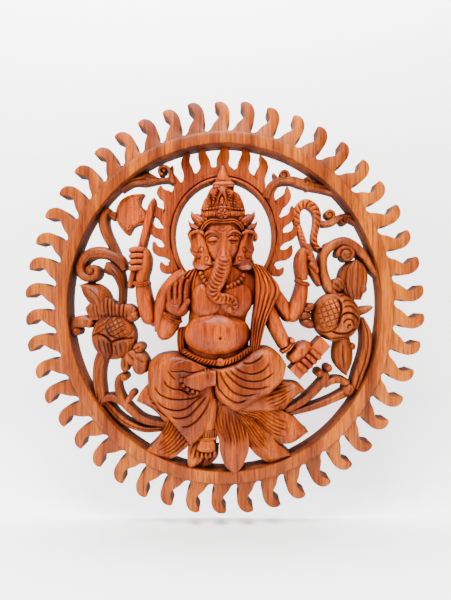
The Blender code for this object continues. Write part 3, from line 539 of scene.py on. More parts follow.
def ray_outline(number):
    pitch = 2 * np.pi / RAYS
    middle = pitch * (number + 0.5) + math.radians(RAY_START)
    middle += math.radians(RAY_DRIFT) * math.cos(middle - math.radians(RAY_DRIFT_AT))
    longer = 1 + 0.02 * math.sin(2.7 * number) + 0.012 * math.sin(5.3 * number + 1)
    lean = 0.35 * math.sin(3.9 * number + 2) * np.clip(ray_line[:, 1] / 29, 0, 1)
    shares = -(ray_line[:, 0] * 1.01 + lean) / RAY_PITCH
    rim = on_ring(RAY_FOOT + ray_line[:, 1] * longer, middle + shares * pitch)
    root = on_ring(RING_WIDTH - 5.0, middle + np.array([-0.51, 0.51]) * pitch)
    return np.vstack([rim, root])


def outside_ring(across, up):
    return math.hypot(across / (OPENING_HALF[0] + RAY_FOOT - 1.1),
                      up / (OPENING_HALF[1] + RAY_FOOT - 1.1)) > 1


rays = [sawn(f"ray_{k}", ray_outline(k), RAY_FACE + 0.18 * math.sin(2.1 * k), arris=0.7,
             eased=outside_ring) for k in range(RAYS)]
unite("ring_and_rays", [ring, *rays])

# %% [markdown]
# ## Halo
# A thin sawn plate behind the head. Its flames are drawn from the gaps between them and their tips:
# each flame leaves the band square to it and sweeps up to its tip, with round-bottomed gaps. A
# half-round bead runs along the opening.

# %% Flames
HALO_FACE = 12.0
HALO_CENTRE = np.array([223.5, 236.0])
HALO_OPENING = np.array([48.5, 55.0])
FLAME_LINE = np.array([
    (174, 277), (160.7, 262), (170, 260.5), (153.5, 241.4), (163.8, 244.4), (151.5, 222.3),
    (163.5, 226), (153, 198.5), (163.8, 207.7), (160.7, 185.5), (173, 190), (172.5, 165.2),
    (182, 182), (189.3, 151.6), (196.8, 173), (204.8, 145.7), (213.7, 167), (222.5, 143.5),
    (233.9, 169.6), (242.4, 146.3), (252.6, 174.2), (259.9, 155.3), (265, 188), (273, 173),
    (275, 198.5), (287, 186.5), (279, 216), (292, 205.5), (283.2, 231), (295.4, 224.5),
    (280.9, 246.5), (291.7, 245), (272.5, 264), (283.5, 267), (272, 279)], float)
FLAME_WIDTHS = [(0, 1.0), (0.03, 0.84), (0.08, 0.72), (0.16, 0.63), (0.3, 0.6), (0.45, 0.62), (0.6, 0.55),
                (0.75, 0.41), (0.88, 0.25), (0.96, 0.15), (1, 0.07)]


def halo_oval(outward, degrees):
    angle = np.radians(degrees)
    half = HALO_OPENING + outward
    return np.stack([HALO_CENTRE[0] + half[0] * np.cos(angle), HALO_CENTRE[1] - half[1] * np.sin(angle)],
                    -1)


def flame_sides(before, tip, after):
    foot = (before + after) / 2
    outward = foot - HALO_CENTRE
    outward /= np.hypot(*outward)
    reach = np.hypot(*(tip - foot))
    bend = foot + outward * reach * 0.5
    half = np.hypot(*(after - before)) / 2
    t = np.array([share for share, _ in FLAME_WIDTHS])[:, None]
    width = np.array([share for _, share in FLAME_WIDTHS])[:, None] * half
    spine = foot * (1 - t) ** 2 + bend * 2 * t * (1 - t) + tip * t ** 2
    ahead = 2 * (bend - foot) * (1 - t) + 2 * (tip - bend) * t
    ahead /= np.hypot(*ahead.T)[:, None]
    square = np.stack([-ahead[:, 1], ahead[:, 0]], 1)
    if (square[0] * (before - after)).sum() < 0:
        square = -square
    spine = spine + square * 1.3 * np.sin(2 * np.pi * t) * np.sign(outward[0])
    left, right = spine + square * width, spine - square * width
    left[0], right[0] = before, after
    return left, right[::-1]


halo = []
for k in range(0, len(FLAME_LINE) - 2, 2):
    left, right = flame_sides(*FLAME_LINE[k:k + 3])
    foot = (left[0] + right[-1]) / 2
    inward = (HALO_CENTRE - foot) / np.hypot(*(HALO_CENTRE - foot)) * 5
    sides = np.vstack([left[0] + inward, left]), np.vstack([right[-1] + inward, right[::-1]])
    halo.append(patch(f"flame_{k // 2}", *sides, HALO_FACE + 0.12 * (k % 4), HALO_FACE + 0.12 * (k % 4),
                      flat, roll=0.5, step=0.85))
print("flames", len(halo))

# %% [markdown]
# ## The halo's plate and bead
# Between the flames and the opening lies a flat plate. A bead runs along the opening, with a sunk line
# beside it, as a small gouge leaves it.

# %% Plate, band and bead
gaps = FLAME_LINE[::2]
arc = np.linspace(-50, 230, 40)
halo.append(patch("halo_plate", gaps[::-1], halo_oval(5.3, np.linspace(-48, 228, len(gaps))), HALO_FACE,
                  HALO_FACE, flat, roll=0.4, step=1.3))
halo.append(band("halo_floor", [(*halo_oval(4.5, a), 4.4, HALO_FACE - 1.4) for a in arc], drop=1,
                 rule=flat))
halo.append(band("halo_bead", [(*halo_oval(2.2, a), 2.2, HALO_FACE + 2.6) for a in arc], drop=3.8))
unite("halo", halo, back=0.3)

# %% [markdown]
# ## Head and headdress
# The elephant's face is a tall dome with a ridge that runs down into the trunk. The headdress is
# built up in tiers from the headband: a fluted band with a flower, a row of beads, a domed cap with
# braids and an arch, a disc and a bell-shaped finial. Leaf wings stand out over both ears.

# %% Face
head = []
face = band("face", [(223, 219, 17, 27), (223, 228, 21.5, 28.5), (223, 237, 21.8, 29),
                     (223, 246, 19.4, 29), (223, 254, 16, 28.5), (223, 262, 11.5, 27.5),
                     (222.5, 271, 8, 26)], drop=15, rule=rounded, step=0.45)
for centre, half, depth in (((212.2, 240), (6.4, 3.6), -1.7), ((233.9, 239), (6.4, 3.6), -1.7),
                            ((210.6, 247), (5, 2), 0.7), ((236, 246), (5, 2), 0.7),
                            ((209.6, 252.5), (5, 4.6), -1.0), ((236.6, 251.5), (5, 4.6), -1.0),
                            ((216.5, 227.5), (5, 3.4), -0.7), ((228.5, 227.5), (5, 3.4), -0.7)):
    dent(face, centre, half, depth, 28)
EYE_LINES = [[(205.2, 240.8), (208, 237), (212, 235.6), (216.4, 236.8), (219.8, 240)],
             [(206, 241.4), (212, 244.4), (218.6, 241)], [(207, 240.9), (212.2, 241.8), (217.8, 240.4)]]
RIGHT_EYE = [[(240.9, 239.2), (238.2, 235.6), (234.2, 234.5), (229.8, 236), (226.4, 239.4)],
             [(240.2, 239.8), (234.2, 243.2), (227.6, 240.4)],
             [(239.2, 239.4), (234, 240.6), (228.4, 239.6)]]
vein(face, [*EYE_LINES, *RIGHT_EYE], 29, width=0.8, depth=1.2, fade=0.08)
vein(face, [EYE_LINES[2], RIGHT_EYE[2]], 29, width=1.1, depth=1.9, fade=0.3)
vein(face, [[(204, 241.2), (204.9, 249.5), (209, 257.8), (214, 263.6)],
            [(243.8, 240.3), (241.4, 248.4), (237.4, 256), (233, 261.3)]], 28, width=0.9, depth=0.8)
head.append(face)
for side, brow in (("left", [(203.4, 236.4, 0.6, 25.6), (206.6, 233, 1.2, 28.8),
                             (210.9, 231.6, 1.4, 29.9), (215, 233, 1.4, 30.3), (219.4, 237, 0.9, 30)]),
                   ("right", [(226.5, 237, 0.9, 30), (230.6, 232.6, 1.4, 30.3), (234.6, 231, 1.4, 29.9),
                              (238.6, 232, 1.2, 28.8), (242.2, 235, 0.6, 25.8)])):
    head.append(band("brow_" + side, brow, drop=2.4, low=16, caps="<>", step=0.38))
vein(face, [[(218.8, 228.2), (220.4, 230.6), (222.8, 231.4), (225, 230.4), (226.4, 228)],
            [(220.8, 226.4), (222.6, 228.2), (224.6, 226.2)]], 30, width=0.8, depth=1.0)
TRUNK = [(222.9, 233, 1.3, 27.4), (223, 240, 2.2, 27.4), (223.2, 248, 4.4, 26), (223.6, 255.6, 7.4, 25.4),
         (223.4, 262, 8.9, 26), (221.9, 269, 8.9, 27.6), (218.8, 277, 8.5, 29), (215, 285, 8, 29.6),
         (213.6, 292, 7.2, 29.8), (218.6, 298, 5.9, 29.6), (226.6, 298.6, 5, 29.4),
         (233.4, 301.2, 4.5, 29.2), (234.6, 306.4, 4, 29), (231, 309.6, 3.4, 28.8),
         (226.6, 309.4, 2.8, 28.6)]
trunk = limb("trunk", TRUNK, sides=40, step=0.42)


def trunk_wrinkles(count, first, last):
    """Crescents across the trunk, bowed towards its end."""
    crescents = []
    for share in np.linspace(first, last, count):
        x, y, radius, _ = along(TRUNK, [share])[0]
        ahead = (along(TRUNK, [share + 0.01]) - along(TRUNK, [share - 0.01]))[0, :2]
        ahead = ahead / np.hypot(*ahead)
        across = np.array([-ahead[1], ahead[0]])
        crescents.append([(x, y) + across * radius * a + ahead * radius * b
                          for a, b in ((-0.85, -0.35), (-0.4, 0.02), (0.1, 0.12), (0.55, -0.05),
                                       (0.9, -0.4))])
    return crescents


vein(trunk, trunk_wrinkles(17, 0.28, 0.93), 36, width=1.7, depth=2.3, fade=0.3)
vein(trunk, [[(219.8, 240), (220.2, 248), (218.8, 255), (216, 260)],
             [(226.2, 240), (226, 248), (227.6, 255), (230.4, 260)],
             [(216.6, 259.6), (220, 262.4), (223.6, 263.4), (227.4, 262.4), (230.4, 259.6)],
             [(221.2, 256.6), (222.9, 258.4), (224.6, 256.6)]], 32, width=1.0, depth=1.2)
head.append(trunk)
print("face forms", len(head))

# %% [markdown]
# ## Ears
# The ears hang flat beside the face and flare out at the bottom over the shoulders. Their outer edge
# is rolled, the top is folded over, and a few curled cuts mark the inside. The right ear mirrors the
# left, with small differences of the hand.

# %% Ears
def rolled_rim(u, v):
    """High at the outer edge, hollow inside it, and rising again to the cheek."""
    return 0.5 + 0.5 * np.cos(np.pi * v * 1.4) ** 2


EAR_MIDDLE = 223.2
EAR_SWIRLS = {"left": ((201.1, 249.5), (206.5, 258.6), 1), "right": ((244.7, 249.3), (239.9, 258.4), -1)}
EAR_EDGES = {
    "left": [(190, 230), (187.9, 235.4), (190.8, 245.4), (190, 251.2), (194.1, 257), (192.4, 264.5),
             (196.6, 269), (204.9, 269.4), (211, 267)],
    "right": [(254, 229.6), (255.6, 234), (253, 242), (254.2, 250), (252.1, 257), (254.2, 264.5),
              (250.5, 269), (241.4, 269.6), (236, 267)],
}
EAR_ROOTS = {
    "left": [(204, 231), (204.6, 238), (206, 244), (207.6, 249), (209, 254), (211, 258), (212, 261),
             (213, 263), (214, 265)],
    "right": [(243, 230), (242, 238), (240, 244), (238.6, 249), (237, 254), (235, 258), (234, 261),
              (233, 263), (232, 265)],
}
EAR_CREASES = [[(192.6, 250.6), (195.6, 252.4), (198.4, 252)],
               [(194.6, 258.6), (198.6, 258.6), (202, 256)]]
for side, outside in EAR_EDGES.items():
    ear = patch("ear_" + side, outside, EAR_ROOTS[side], 20.5, 26.4, rolled_rim, step=0.5)
    low, high, turn = EAR_SWIRLS[side]
    cuts = []
    for centre, size in ((low, 3.4), (high, 3)):
        angle = np.linspace(0, 2.6 * math.pi, 30)
        radius = size * (1 - angle / (4.2 * math.pi))
        cuts.append(np.stack([centre[0] - turn * radius * np.cos(angle),
                              centre[1] + radius * np.sin(angle)], 1).tolist())
    for line in EAR_CREASES:
        cuts.append([(EAR_MIDDLE + turn * (x - EAR_MIDDLE), y) for x, y in line])
    vein(ear, cuts, 25, width=0.9, depth=1.3)
    head.append(ear)
    rim = [(p[0] + turn * 1.1, p[1] - 0.2, 1.3, 27) for p in outside[1:-1]]
    head.append(band("ear_rim_" + side, rim, drop=3.4, low=8, caps="<>", step=0.45))
    fold = [(204.6, 234), (200, 231.8), (194.4, 232), (190.4, 235), (190.6, 240)]
    fold = [(EAR_MIDDLE + turn * (x - EAR_MIDDLE), y, 1.9, 28) for x, y in fold]
    head.append(band("ear_fold_" + side, fold, drop=4, low=8, caps="<>", step=0.45))
print("head with ears", len(head), "forms")

# %% [markdown]
# ## Cap and finial
# The cap is a tall dome. Twisted braids and a pointed arch lie over it, and under them come a row of
# beads, a fluted band with a flower, and the double headband. A disc and a bell stand on top.

# %% Cap, tiers and finial
cap = band("cap", [(223.4, 232, 19, 27), (223.2, 224, 19.6, 28), (223.1, 217.6, 19, 27.6),
                   (223, 211.5, 22.6, 26.8), (223, 204.5, 21.4, 26.8), (222.9, 197.5, 18.6, 26.4),
                   (222.6, 191, 14.4, 25.4), (223.2, 185.6, 10, 24)], drop=12, rule=rounded, step=0.45)
vein(cap, [[(204.6, 208.6), (212, 206.4), (223, 205.6), (234, 206.2), (241.4, 208)]], 26, width=1.0,
     depth=1.0)
for x, y, w in ((206, 202, 1.6), (239.6, 202, 1.6), (216.6, 199, 1.6), (228.4, 199, 1.6)):
    vein(cap, [[(x, y - 3.4), (x - w, y), (x, y + 3.4)], [(x, y - 3.4), (x + w, y), (x, y + 3.4)]], 26,
         width=0.7, depth=0.8)
head.append(cap)
for name, line in {"inner_left": [(218.3, 187.6), (214.8, 196), (213, 205)],
                   "inner_right": [(225.8, 187.6), (229.8, 196), (231.6, 205)],
                   "outer_left": [(209.4, 192.4), (208.8, 198.6), (210.3, 205)],
                   "outer_right": [(234.6, 191.4), (236, 198), (234.4, 205)]}.items():
    head.append(band("braid_" + name, [(x, y, 1.55, 29) for x, y in line], drop=3.4,
                     rule=twisted(6, 0.6, 0.9), low=14, caps="<>", step=0.35))
for k, line in enumerate(([(217.4, 205), (218.6, 197.6), (221.9, 192)],
                          [(226.8, 205), (225.4, 197.6), (221.9, 192)])):
    path = [(x, y, 0.9, 29) for x, y in line]
    head.append(band(f"arch_{k}", path, drop=2.6, low=14, caps="<>", step=0.4))
head.append(boss("arch_leaf", (222, 200.6), (2.2, 4.2), 26.4, 28, low=14, step=0.4))
CROWN_BEADS = 13
FIRST_BEAD, BEAD_ROW = 204.4, 37.2
for k in range(CROWN_BEADS):
    x = FIRST_BEAD + BEAD_ROW * k / (CROWN_BEADS - 1)
    bend = ((x - 223) / 19) ** 2
    head.append(boss(f"crown_bead_{k}", (x, 208.7 - 0.9 * (1 - bend) + 0.6), (1.35, 1.3), 25,
                     28.6 - 2.6 * bend, low=12, step=0.5))


def fluted(u, v):
    return rounded(u, v) * (0.62 + 0.38 * np.abs(np.sin(np.pi * 24 * u)) ** 0.6)


head.append(band("fluted_band", [(201.6, 212.6, 2.6, 24), (206, 213.8, 3, 27.4), (213, 214.4, 3.2, 29),
                                 (223, 214.8, 3.3, 29.6), (233, 214.2, 3.2, 29), (240, 213.4, 3, 27.4),
                                 (244.4, 212.2, 2.6, 24)], drop=4, rule=fluted, low=12, step=0.35))


def petals(count, depth):
    """A flower's radial petals, as a skin for a boss."""
    return lambda across, up: depth * (np.abs(np.cos(count / 2 * np.arctan2(up, across))) ** 0.7 - 1)


head.append(boss("crown_flower", (222.5, 213.6), (5.4, 5.4), 28.8, 31.2, low=14, power=3,
                 skin=petals(7, 1.6), step=0.4))
head.append(boss("crown_flower_eye", (222.5, 213.6), (1.7, 1.7), 30, 32.6, low=14, step=0.4))
head.append(band("headband", [(200.8, 231.4, 1.9, 26.4), (204.8, 224.8, 2, 28.6), (210.8, 221.2, 2, 30.2),
                              (222.3, 221.8, 2.1, 31.2), (233.4, 220.9, 2, 30.2), (239.8, 224.2, 2, 28.6),
                              (244, 230.6, 1.9, 26.4)], drop=3.8, rule=grooved, low=12, caps="<>",
                 step=0.4))
disc = band("crown_disc", [(223.6, 187.2, 10.6, 24.8), (223.4, 184.6, 11.2, 25.4),
                           (223.3, 182, 10.4, 24.8)], drop=4, rule=soft, step=0.45)
vein(disc, [[(213, 184.6), (223.4, 185.4), (234, 184.4)]], 25, width=0.8, depth=1.0, fade=0)
head.append(disc)
head.append(band("finial", [(223.2, 182.4, 8.8, 23.6), (222.8, 178.6, 6.9, 23.4), (222.6, 175, 5.3, 23),
                            (222.5, 171.4, 3.9, 22), (222.4, 168, 2.7, 20.6), (222.3, 165, 1.5, 19)],
                 drop=5, step=0.4))
head.append(band("finial_ring", [(216.4, 179.1, 0.7, 22), (222.8, 180, 0.8, 24.4),
                                 (229.2, 179.1, 0.7, 22)], drop=1.6, low=12, caps="<>", step=0.4))
WING_MIDDLE = 222.8
for side, sign, middle in (("left", 1, 0), ("right", -1, 2 * WING_MIDDLE)):
    high = [(206.5, 227.6, 4.6, 24), (201.8, 221.6, 5.8, 24.6), (196.2, 217.4, 4.8, 23),
            (192.6, 214.8, 2.8, 21), (191, 210.4, 0.3, 20)]
    low = [(204.6, 233, 3.6, 23), (198.6, 229.6, 4.6, 23), (193.6, 226.4, 3.9, 21.6), (190.2, 224, 2, 20),
           (188, 220, 0.3, 19)]
    inner = [(207.6, 222, 3.4, 26), (204.8, 217, 3.5, 25), (202.2, 213, 2, 23.6), (201.4, 208.8, 0.3, 22)]
    for name, path in (("high", high), ("low", low), ("inner", inner)):
        leaf = band(f"wing_{side}_{name}", [(middle + sign * x, y, h, c) for x, y, h, c in path], drop=5,
                    rule=domed, low=6, caps="<", step=0.4)
        vein(leaf, [[(middle + sign * p[0], p[1]) for p in path[:-1]]], 22, width=0.9, depth=1.0)
        head.append(leaf)
    head.append(boss("wing_eye_" + side, (middle + sign * 200.6, 223.8), (2.9, 2.9), 24, 26.4, low=6,
                     skin=lambda across, up: -0.8 * (np.abs(np.hypot(across, up) - 1.7) < 0.45),
                     step=0.35))
unite("head_and_crown", head, back=0.1)

# %% [markdown]
# ## Body
# Chest, belly and shoulders are broad soft domes. The necklace is a string of beads, the belt a
# twisted cord, and the sash falls from the shoulder in five deep pleats.

# %% Torso, belt and sash
body = [band("torso", [(221, 262, 16, 23), (221, 269, 30, 25), (221, 279, 39, 25.4), (221, 291, 38, 25.4),
                       (219, 305, 31, 25.4), (217, 320, 29, 25), (217, 340, 32, 25), (217, 360, 30, 25),
                       (217, 374, 24, 24)], drop=12, rule=soft)]
for name, centre, half in (("left", (206.4, 299.6), (17.4, 18.6)), ("right", (235.4, 299), (18, 19))):
    body.append(boss("chest_" + name, centre, half, 19, 29.6, low=5, power=3))
belly = boss("belly", (217, 334.6), (34, 23.4), 18, 34.6, step=0.55)
vein(belly, [[(188, 322.6), (199, 320.6), (209, 318.4), (217, 313.6), (226, 315.6), (236, 320.4),
              (247, 322)]], 31, width=1.4, depth=1.0)
dent(belly, (220.3, 338.4), (2.0, 1.7), 2.4, 34.4)
dent(belly, (220.3, 336.6), (3.4, 1.4), -0.5, 34.4)
body.append(belly)
for k, spot in enumerate([(200.8, 273.4), (202.4, 277), (204.4, 280.4), (206.8, 283.4), (209, 286.2),
                          (243.4, 275.4), (241.4, 278.8), (238.4, 281.8), (234.9, 284), (231.2, 285.6),
                          (227.6, 286.6)]):
    body.append(boss(f"necklace_bead_{k}", spot, (2.45, 2.4), 27, 31.8, low=14, step=0.5))
body.append(band("belt", [(181.6, 350.6, 2.6, 30), (190, 356.4, 2.9, 32), (204, 361.6, 3, 33.6),
                          (220.3, 363.2, 3, 34.4), (236, 358.8, 3, 33.6), (252.4, 348.6, 2.7, 32)],
                 drop=5.6, rule=twisted(24, 1.0, 0.6), low=8, caps="<>", step=0.45))
knot = boss("belt_knot", (220.4, 362.6), (4, 3.9), 31.6, 35, low=14, step=0.4, skin=petals(5, 0.8))
body.append(knot)
strip = patch("cloth_strip", [(177.6, 328), (176.8, 340), (178.4, 356)],
              [(187, 326), (185, 340), (187, 357)], 14, 22.5, ribs(3, 0.4, soft))
body.append(strip)
sash = patch("sash", [(249, 262), (254.6, 275), (254.6, 300), (251.6, 325), (250, 351)],
             [(263, 266), (279.6, 287.3), (275, 303), (266.6, 321.3), (258.5, 353)], 23,
             [30, 31.5, 31.5, 31, 30], ribs(5, 0.36, soft), step=0.5)
vein(sash, [[(261.6, 271.6), (262.6, 290), (259, 310), (254, 345)],
            [(266, 275), (269, 290), (264.6, 310), (257.4, 335)],
            [(256.4, 272), (257.4, 290), (255.6, 312), (252.4, 345)]], 30, width=1.0, depth=1.0)
body.append(sash)
shoulder = patch("shoulder_cloth", [(173, 303), (173.4, 288), (181, 277), (188.4, 270)],
                 [(197, 304), (196.4, 290), (197, 280), (199.6, 270)],
                 18, 26.5, ribs(4, 0.5, soft), step=0.5)
body.append(shoulder)
unite("torso", body, back=0.2)

# %% [markdown]
# ## Four arms and what they hold
# The front hand is raised with its palm out, the two behind hold an axe and a noose, and the lower
# one holds a block. Fingers are rounded bands with rounded ends, laid side by side, and bracelets
# are double cords round the wrists.

# %% Raised hand
def bracelet(name, path, drop=3.6, low=6):
    """A double cord round a wrist."""
    return band(name, path, drop=drop, rule=grooved, low=low, caps="<>", step=0.45)


arms = [band("upper_arm_front", [(186, 274, 8, 23), (177, 281, 9.4, 24), (167, 293, 9.6, 24.6),
                                 (161.8, 309, 9, 24.8), (161.6, 332, 7.8, 24.6)], drop=12),
        band("forearm_front", [(160.2, 340.4, 5, 28), (163.6, 333.6, 8.2, 30), (168.2, 324.6, 9.4, 31.4),
                               (172.6, 315, 8.6, 31.6)], drop=13, caps="<"),
        bracelet("bracelet_front", [(162.8, 312.6, 1.9, 31), (168, 317.4, 2, 33.6), (174, 320.8, 2, 34),
                                    (180.8, 322.8, 1.9, 32)], drop=4, low=12)]
palm = boss("palm", (176.6, 306.4), (11, 12), 24, 33, power=2.6, step=0.5)
vein(palm, [[(170, 303.4), (175, 304.6), (181, 303)], [(170, 307), (175.6, 308.4), (181, 311)],
            [(183.6, 302), (180, 308), (181.6, 315)]], 33, width=0.9, depth=0.9)
arms.append(palm)
for name, path, joints in (
        ("little", [(170.2, 306, 2.75, 32.4), (169.4, 297, 2.75, 33.2), (169.4, 290.6, 2.55, 33.2),
                    (170.6, 286.6, 2.0, 32.6)], (297.4, 291.6)),
        ("ring", [(175.2, 304, 2.75, 33), (175, 293, 2.75, 34), (175.6, 286, 2.55, 34),
                  (177.8, 281.6, 2.0, 33.4)], (295, 287.6)),
        ("middle", [(180, 304, 2.75, 33.4), (180.2, 291, 2.75, 34.4), (181.2, 282, 2.6, 34.4),
                    (183.8, 276.4, 2.0, 33.8)], (293.6, 284.6)),
        ("index", [(184.9, 304, 2.5, 33), (185.4, 292, 2.6, 34), (186.6, 284, 2.4, 34),
                   (188.6, 279, 2.0, 33.4)], (294.6, 286.4)),
        ("thumb", [(178.6, 313.6, 3.4, 34), (183.4, 307.6, 3.3, 35), (187.4, 301, 2.8, 35),
                   (188.9, 298.4, 2.4, 34.6)], (304.6,))):
    finger = band("finger_" + name, path, drop=4.6, low=12, caps=">", step=0.42)
    for y in joints:
        x = float(np.interp(-y, [-p[1] for p in path], [p[0] for p in path]))
        vein(finger, [[(x - 2.6, y + 0.4), (x, y - 0.3), (x + 2.6, y + 0.4)]], 34, width=0.6, depth=0.7,
             fade=0)
    arms.append(finger)
print("front arm", len(arms), "forms")

# %% [markdown]
# ## Axe
# The fist closes round a straight handle, seen from the back of the hand, with four fingers stacked.
# The blade is a sawn crescent with a raised face that is stippled with a punch.

# %% Axe
arms += [band("upper_arm_axe", [(180, 282, 8, 17), (165, 300, 8, 18), (156, 318, 6.5, 18),
                                (152, 327, 5, 17)], drop=8, caps=">"),
         band("forearm_axe", [(141, 280, 6.6, 22), (143.2, 297, 8, 23), (147, 313, 8.4, 23),
                              (150.4, 325, 6.6, 22)], drop=11, caps=">"),
         bracelet("bracelet_axe", [(132.4, 282.4, 1.9, 22), (140.6, 284.8, 2, 24.6),
                                   (149.2, 282.2, 1.9, 22)])]
back_of_hand = band("back_of_hand_axe", [(142.6, 247, 3.4, 20), (145.4, 256, 5, 22.8),
                                         (144.6, 266, 5.8, 23.2), (141.8, 275, 6, 22.8),
                                         (140.6, 285, 6.4, 22.4)], drop=9, caps="<", step=0.5)
vein(back_of_hand, [[(141, 254), (146, 262)], [(141, 262), (146, 269)]], 22, width=0.9, depth=0.5)
arms.append(back_of_hand)
for k in range(4):
    y = 250.6 + 6.1 * k
    finger = band(f"axe_finger_{k}", [(145, y - 0.6, 2.8, 23.4), (138.4, y - 1.5, 3.1, 24.8),
                                      (131.8, y - 0.7, 3.1, 24.4), (128.6, y + 1.4, 2.4, 22.6)],
                  drop=5, low=4, caps="<>", step=0.42)
    vein(finger, [[(137.6, y - 4.6), (136.8, y - 1.5), (137.6, y + 1.6)]], 24, width=0.6, depth=0.6,
         fade=0)
    arms.append(finger)
handle = band("axe_handle", [(154.4, 197.6, 0.6, 14.6), (153.2, 201, 2.8, 15.8), (151, 208, 3.9, 16.6),
                             (146.6, 226, 4, 16.8), (141, 248, 4, 16.8)], drop=5, rule=soft, step=0.5)
arms += [handle, band("axe_handle_end", [(134.8, 268, 3.8, 16.6), (131.4, 281, 3.6, 16.4),
                                         (128.6, 288.6, 2.4, 15.6)], drop=4, caps=">", rule=soft)]
AXE_LINE = [(144.4, 193.6), (132, 194.6), (122.5, 199), (117.4, 206.4), (115.6, 214.6), (117, 221.6),
            (120.4, 227.6), (127.8, 235), (133.4, 227), (141.6, 224.4), (149, 228.6), (152.4, 212),
            (145.6, 209.6), (140.6, 204.6), (141.4, 198)]
axe_plan = on_plan(spaced([*AXE_LINE, AXE_LINE[0]], 0.9)[:-1], 12)
blade = sawn("axe_blade", axe_plan, 13, arris=0.5)
arms.append(blade)
blade_face = patch("axe_face",
                   [(140, 196.6), (131, 197.4), (124, 201.4), (119.4, 208), (118, 214.6), (120, 222),
                    (127.6, 231.6)],
                   [(139.4, 199), (139.6, 205), (144, 211), (146.6, 215.6), (145.6, 220.6), (139, 222.6),
                    (130.8, 228.6)],
                   13.4, 15, soft, low=4, step=0.4)
PUNCH_MARKS = 260
generator = np.random.default_rng(11)
for _ in range(PUNCH_MARKS):
    share_u, share_v = generator.random(2)
    a = along([(139, 198), (126, 202.6), (120.4, 214), (128.6, 228.4)], [share_u])[0]
    b = along([(140.4, 201), (144, 212), (144.4, 219), (131.6, 227.4)], [share_u])[0]
    dent(blade_face, a + (b - a) * share_v, (0.62, 0.62), 0.42, 14.6)
arms.append(blade_face)
print("with the axe arm", len(arms), "forms")

# %% [markdown]
# ## Noose
# The noose is a carved rope, thickest at the top of its loop. Its twist comes from a swelling rule
# whose ridges slant across the band. Four fingers lie slantwise over the end that hangs down.

# %% Noose
arms += [band("upper_arm_noose", [(260, 279, 9, 18), (275, 297, 8.8, 19), (285.6, 311, 7.6, 19),
                                  (291, 322, 5.6, 18)], drop=9, caps=">"),
         band("forearm_noose", [(303.4, 281, 5.8, 22), (300.8, 297, 7.6, 23), (296, 311, 8, 23),
                                (290, 322, 5.4, 21.6)], drop=11, caps=">"),
         bracelet("bracelet_noose", [(296, 279.4, 1.9, 21.6), (303, 283, 2, 24.6),
                                     (310.6, 285.2, 1.9, 21.6)]),
         band("back_of_hand_noose", [(307.4, 246, 3.4, 21), (303.4, 254, 6, 22.6), (301.8, 264, 6.6, 23),
                                     (303, 280, 5.6, 22)], drop=8, caps="<", step=0.5)]
for k in range(4):
    x, y = 305 + 2.0 * k, 244.8 + 6.3 * k
    finger = band(f"noose_finger_{k}", [(x - 2.6, y - 0.8, 2.6, 22.8), (x + 1.6, y + 0.8, 3, 24.2),
                                        (x + 5, y + 5, 2.9, 23.6), (x + 7, y + 10, 2.2, 21.6)],
                  drop=5, low=4, caps="<>", step=0.42)
    arms.append(finger)
arms += [band("noose_tail", [(309, 264, 4.4, 18), (314, 272, 4.2, 18.4), (317.6, 280, 3, 17.6),
                             (320.4, 286.6, 1.2, 16)], drop=5, caps=">"),
         band("noose_stick", [(305.4, 247, 3.2, 14.6), (301.6, 235, 3, 14.6), (298.2, 224, 2.8, 14.4)],
              drop=4, caps=">", rule=twisted(6, 0.9, 0.4), step=0.45),
         band("noose_rope", [(298.6, 226, 3.4, 15), (297, 219, 3.6, 15.4), (297.4, 211, 4, 15.8),
                             (301.6, 204.8, 4.3, 16), (307.4, 203, 4.4, 16), (314, 207.2, 4.4, 16),
                             (317.6, 215, 4.1, 15.8), (317, 225, 3.7, 15.4), (314.8, 236, 3.4, 15),
                             (315.2, 244, 3.4, 15), (319, 248.6, 3.2, 14.8), (323.6, 249.4, 3, 14.6),
                             (328.6, 246.8, 2.6, 14)], drop=5.5, caps="<>", rule=twisted(17, 1.0, 0.55),
              step=0.42)]
print("with the noose arm", len(arms), "forms")

# %% [markdown]
# ## Lower hand
# The hand reaches down to the right and holds a plain block across its palm. The block is sawn, and
# its corners are eased.

# %% Lower hand and block
arms += [band("forearm_low", [(262, 298, 7, 25), (270, 314, 7.8, 27), (277, 329, 7.6, 28),
                              (285.6, 345.4, 7, 27.4)], drop=13),
         bracelet("bracelet_low", [(281.4, 353.4, 2, 26.6), (288.6, 348.6, 2.1, 29.6),
                                   (294.6, 341, 2, 27)], drop=4),
         boss("bracelet_knob", (292.6, 340.6), (2.6, 2.6), 27, 30.4, low=8, step=0.45),
         boss("hand_low", (300.6, 352.6), (14.5, 8.6), 17, 27, 40, step=0.5)]
corners = [(289.4, 369.6), (321, 336.4), (331, 346.6), (299.6, 380)]
sides = zip(corners, corners[1:] + corners[:1])
block_line = np.vstack([on_plan(spaced([a, b], 2.4), 23)[:-1] for a, b in sides])
arms.append(sawn("block", block_line, 23.5, arris=0.9))
for k in range(4):
    x, y = 303.6 + 4.4 * k, 369.6 - 4.3 * k
    finger = band(f"low_finger_{k}", [(x - 7, y - 6.4, 2.9, 26.6), (x - 2, y - 3, 3.1, 28.6),
                                      (x + 2, y + 1, 3, 28), (x + 3.4, y + 4, 2.4, 25.6)],
                  drop=5, low=6, caps="<>", step=0.42)
    arms.append(finger)
unite("arms", arms, back=0.35)

# %% [markdown]
# ## Legs and their drapery
# The knees are wrapped in cloth. On the real panel its folds are long V cuts that run round the
# knee and end in a point, each with its outer side left proud, so that one fold lies over the next.

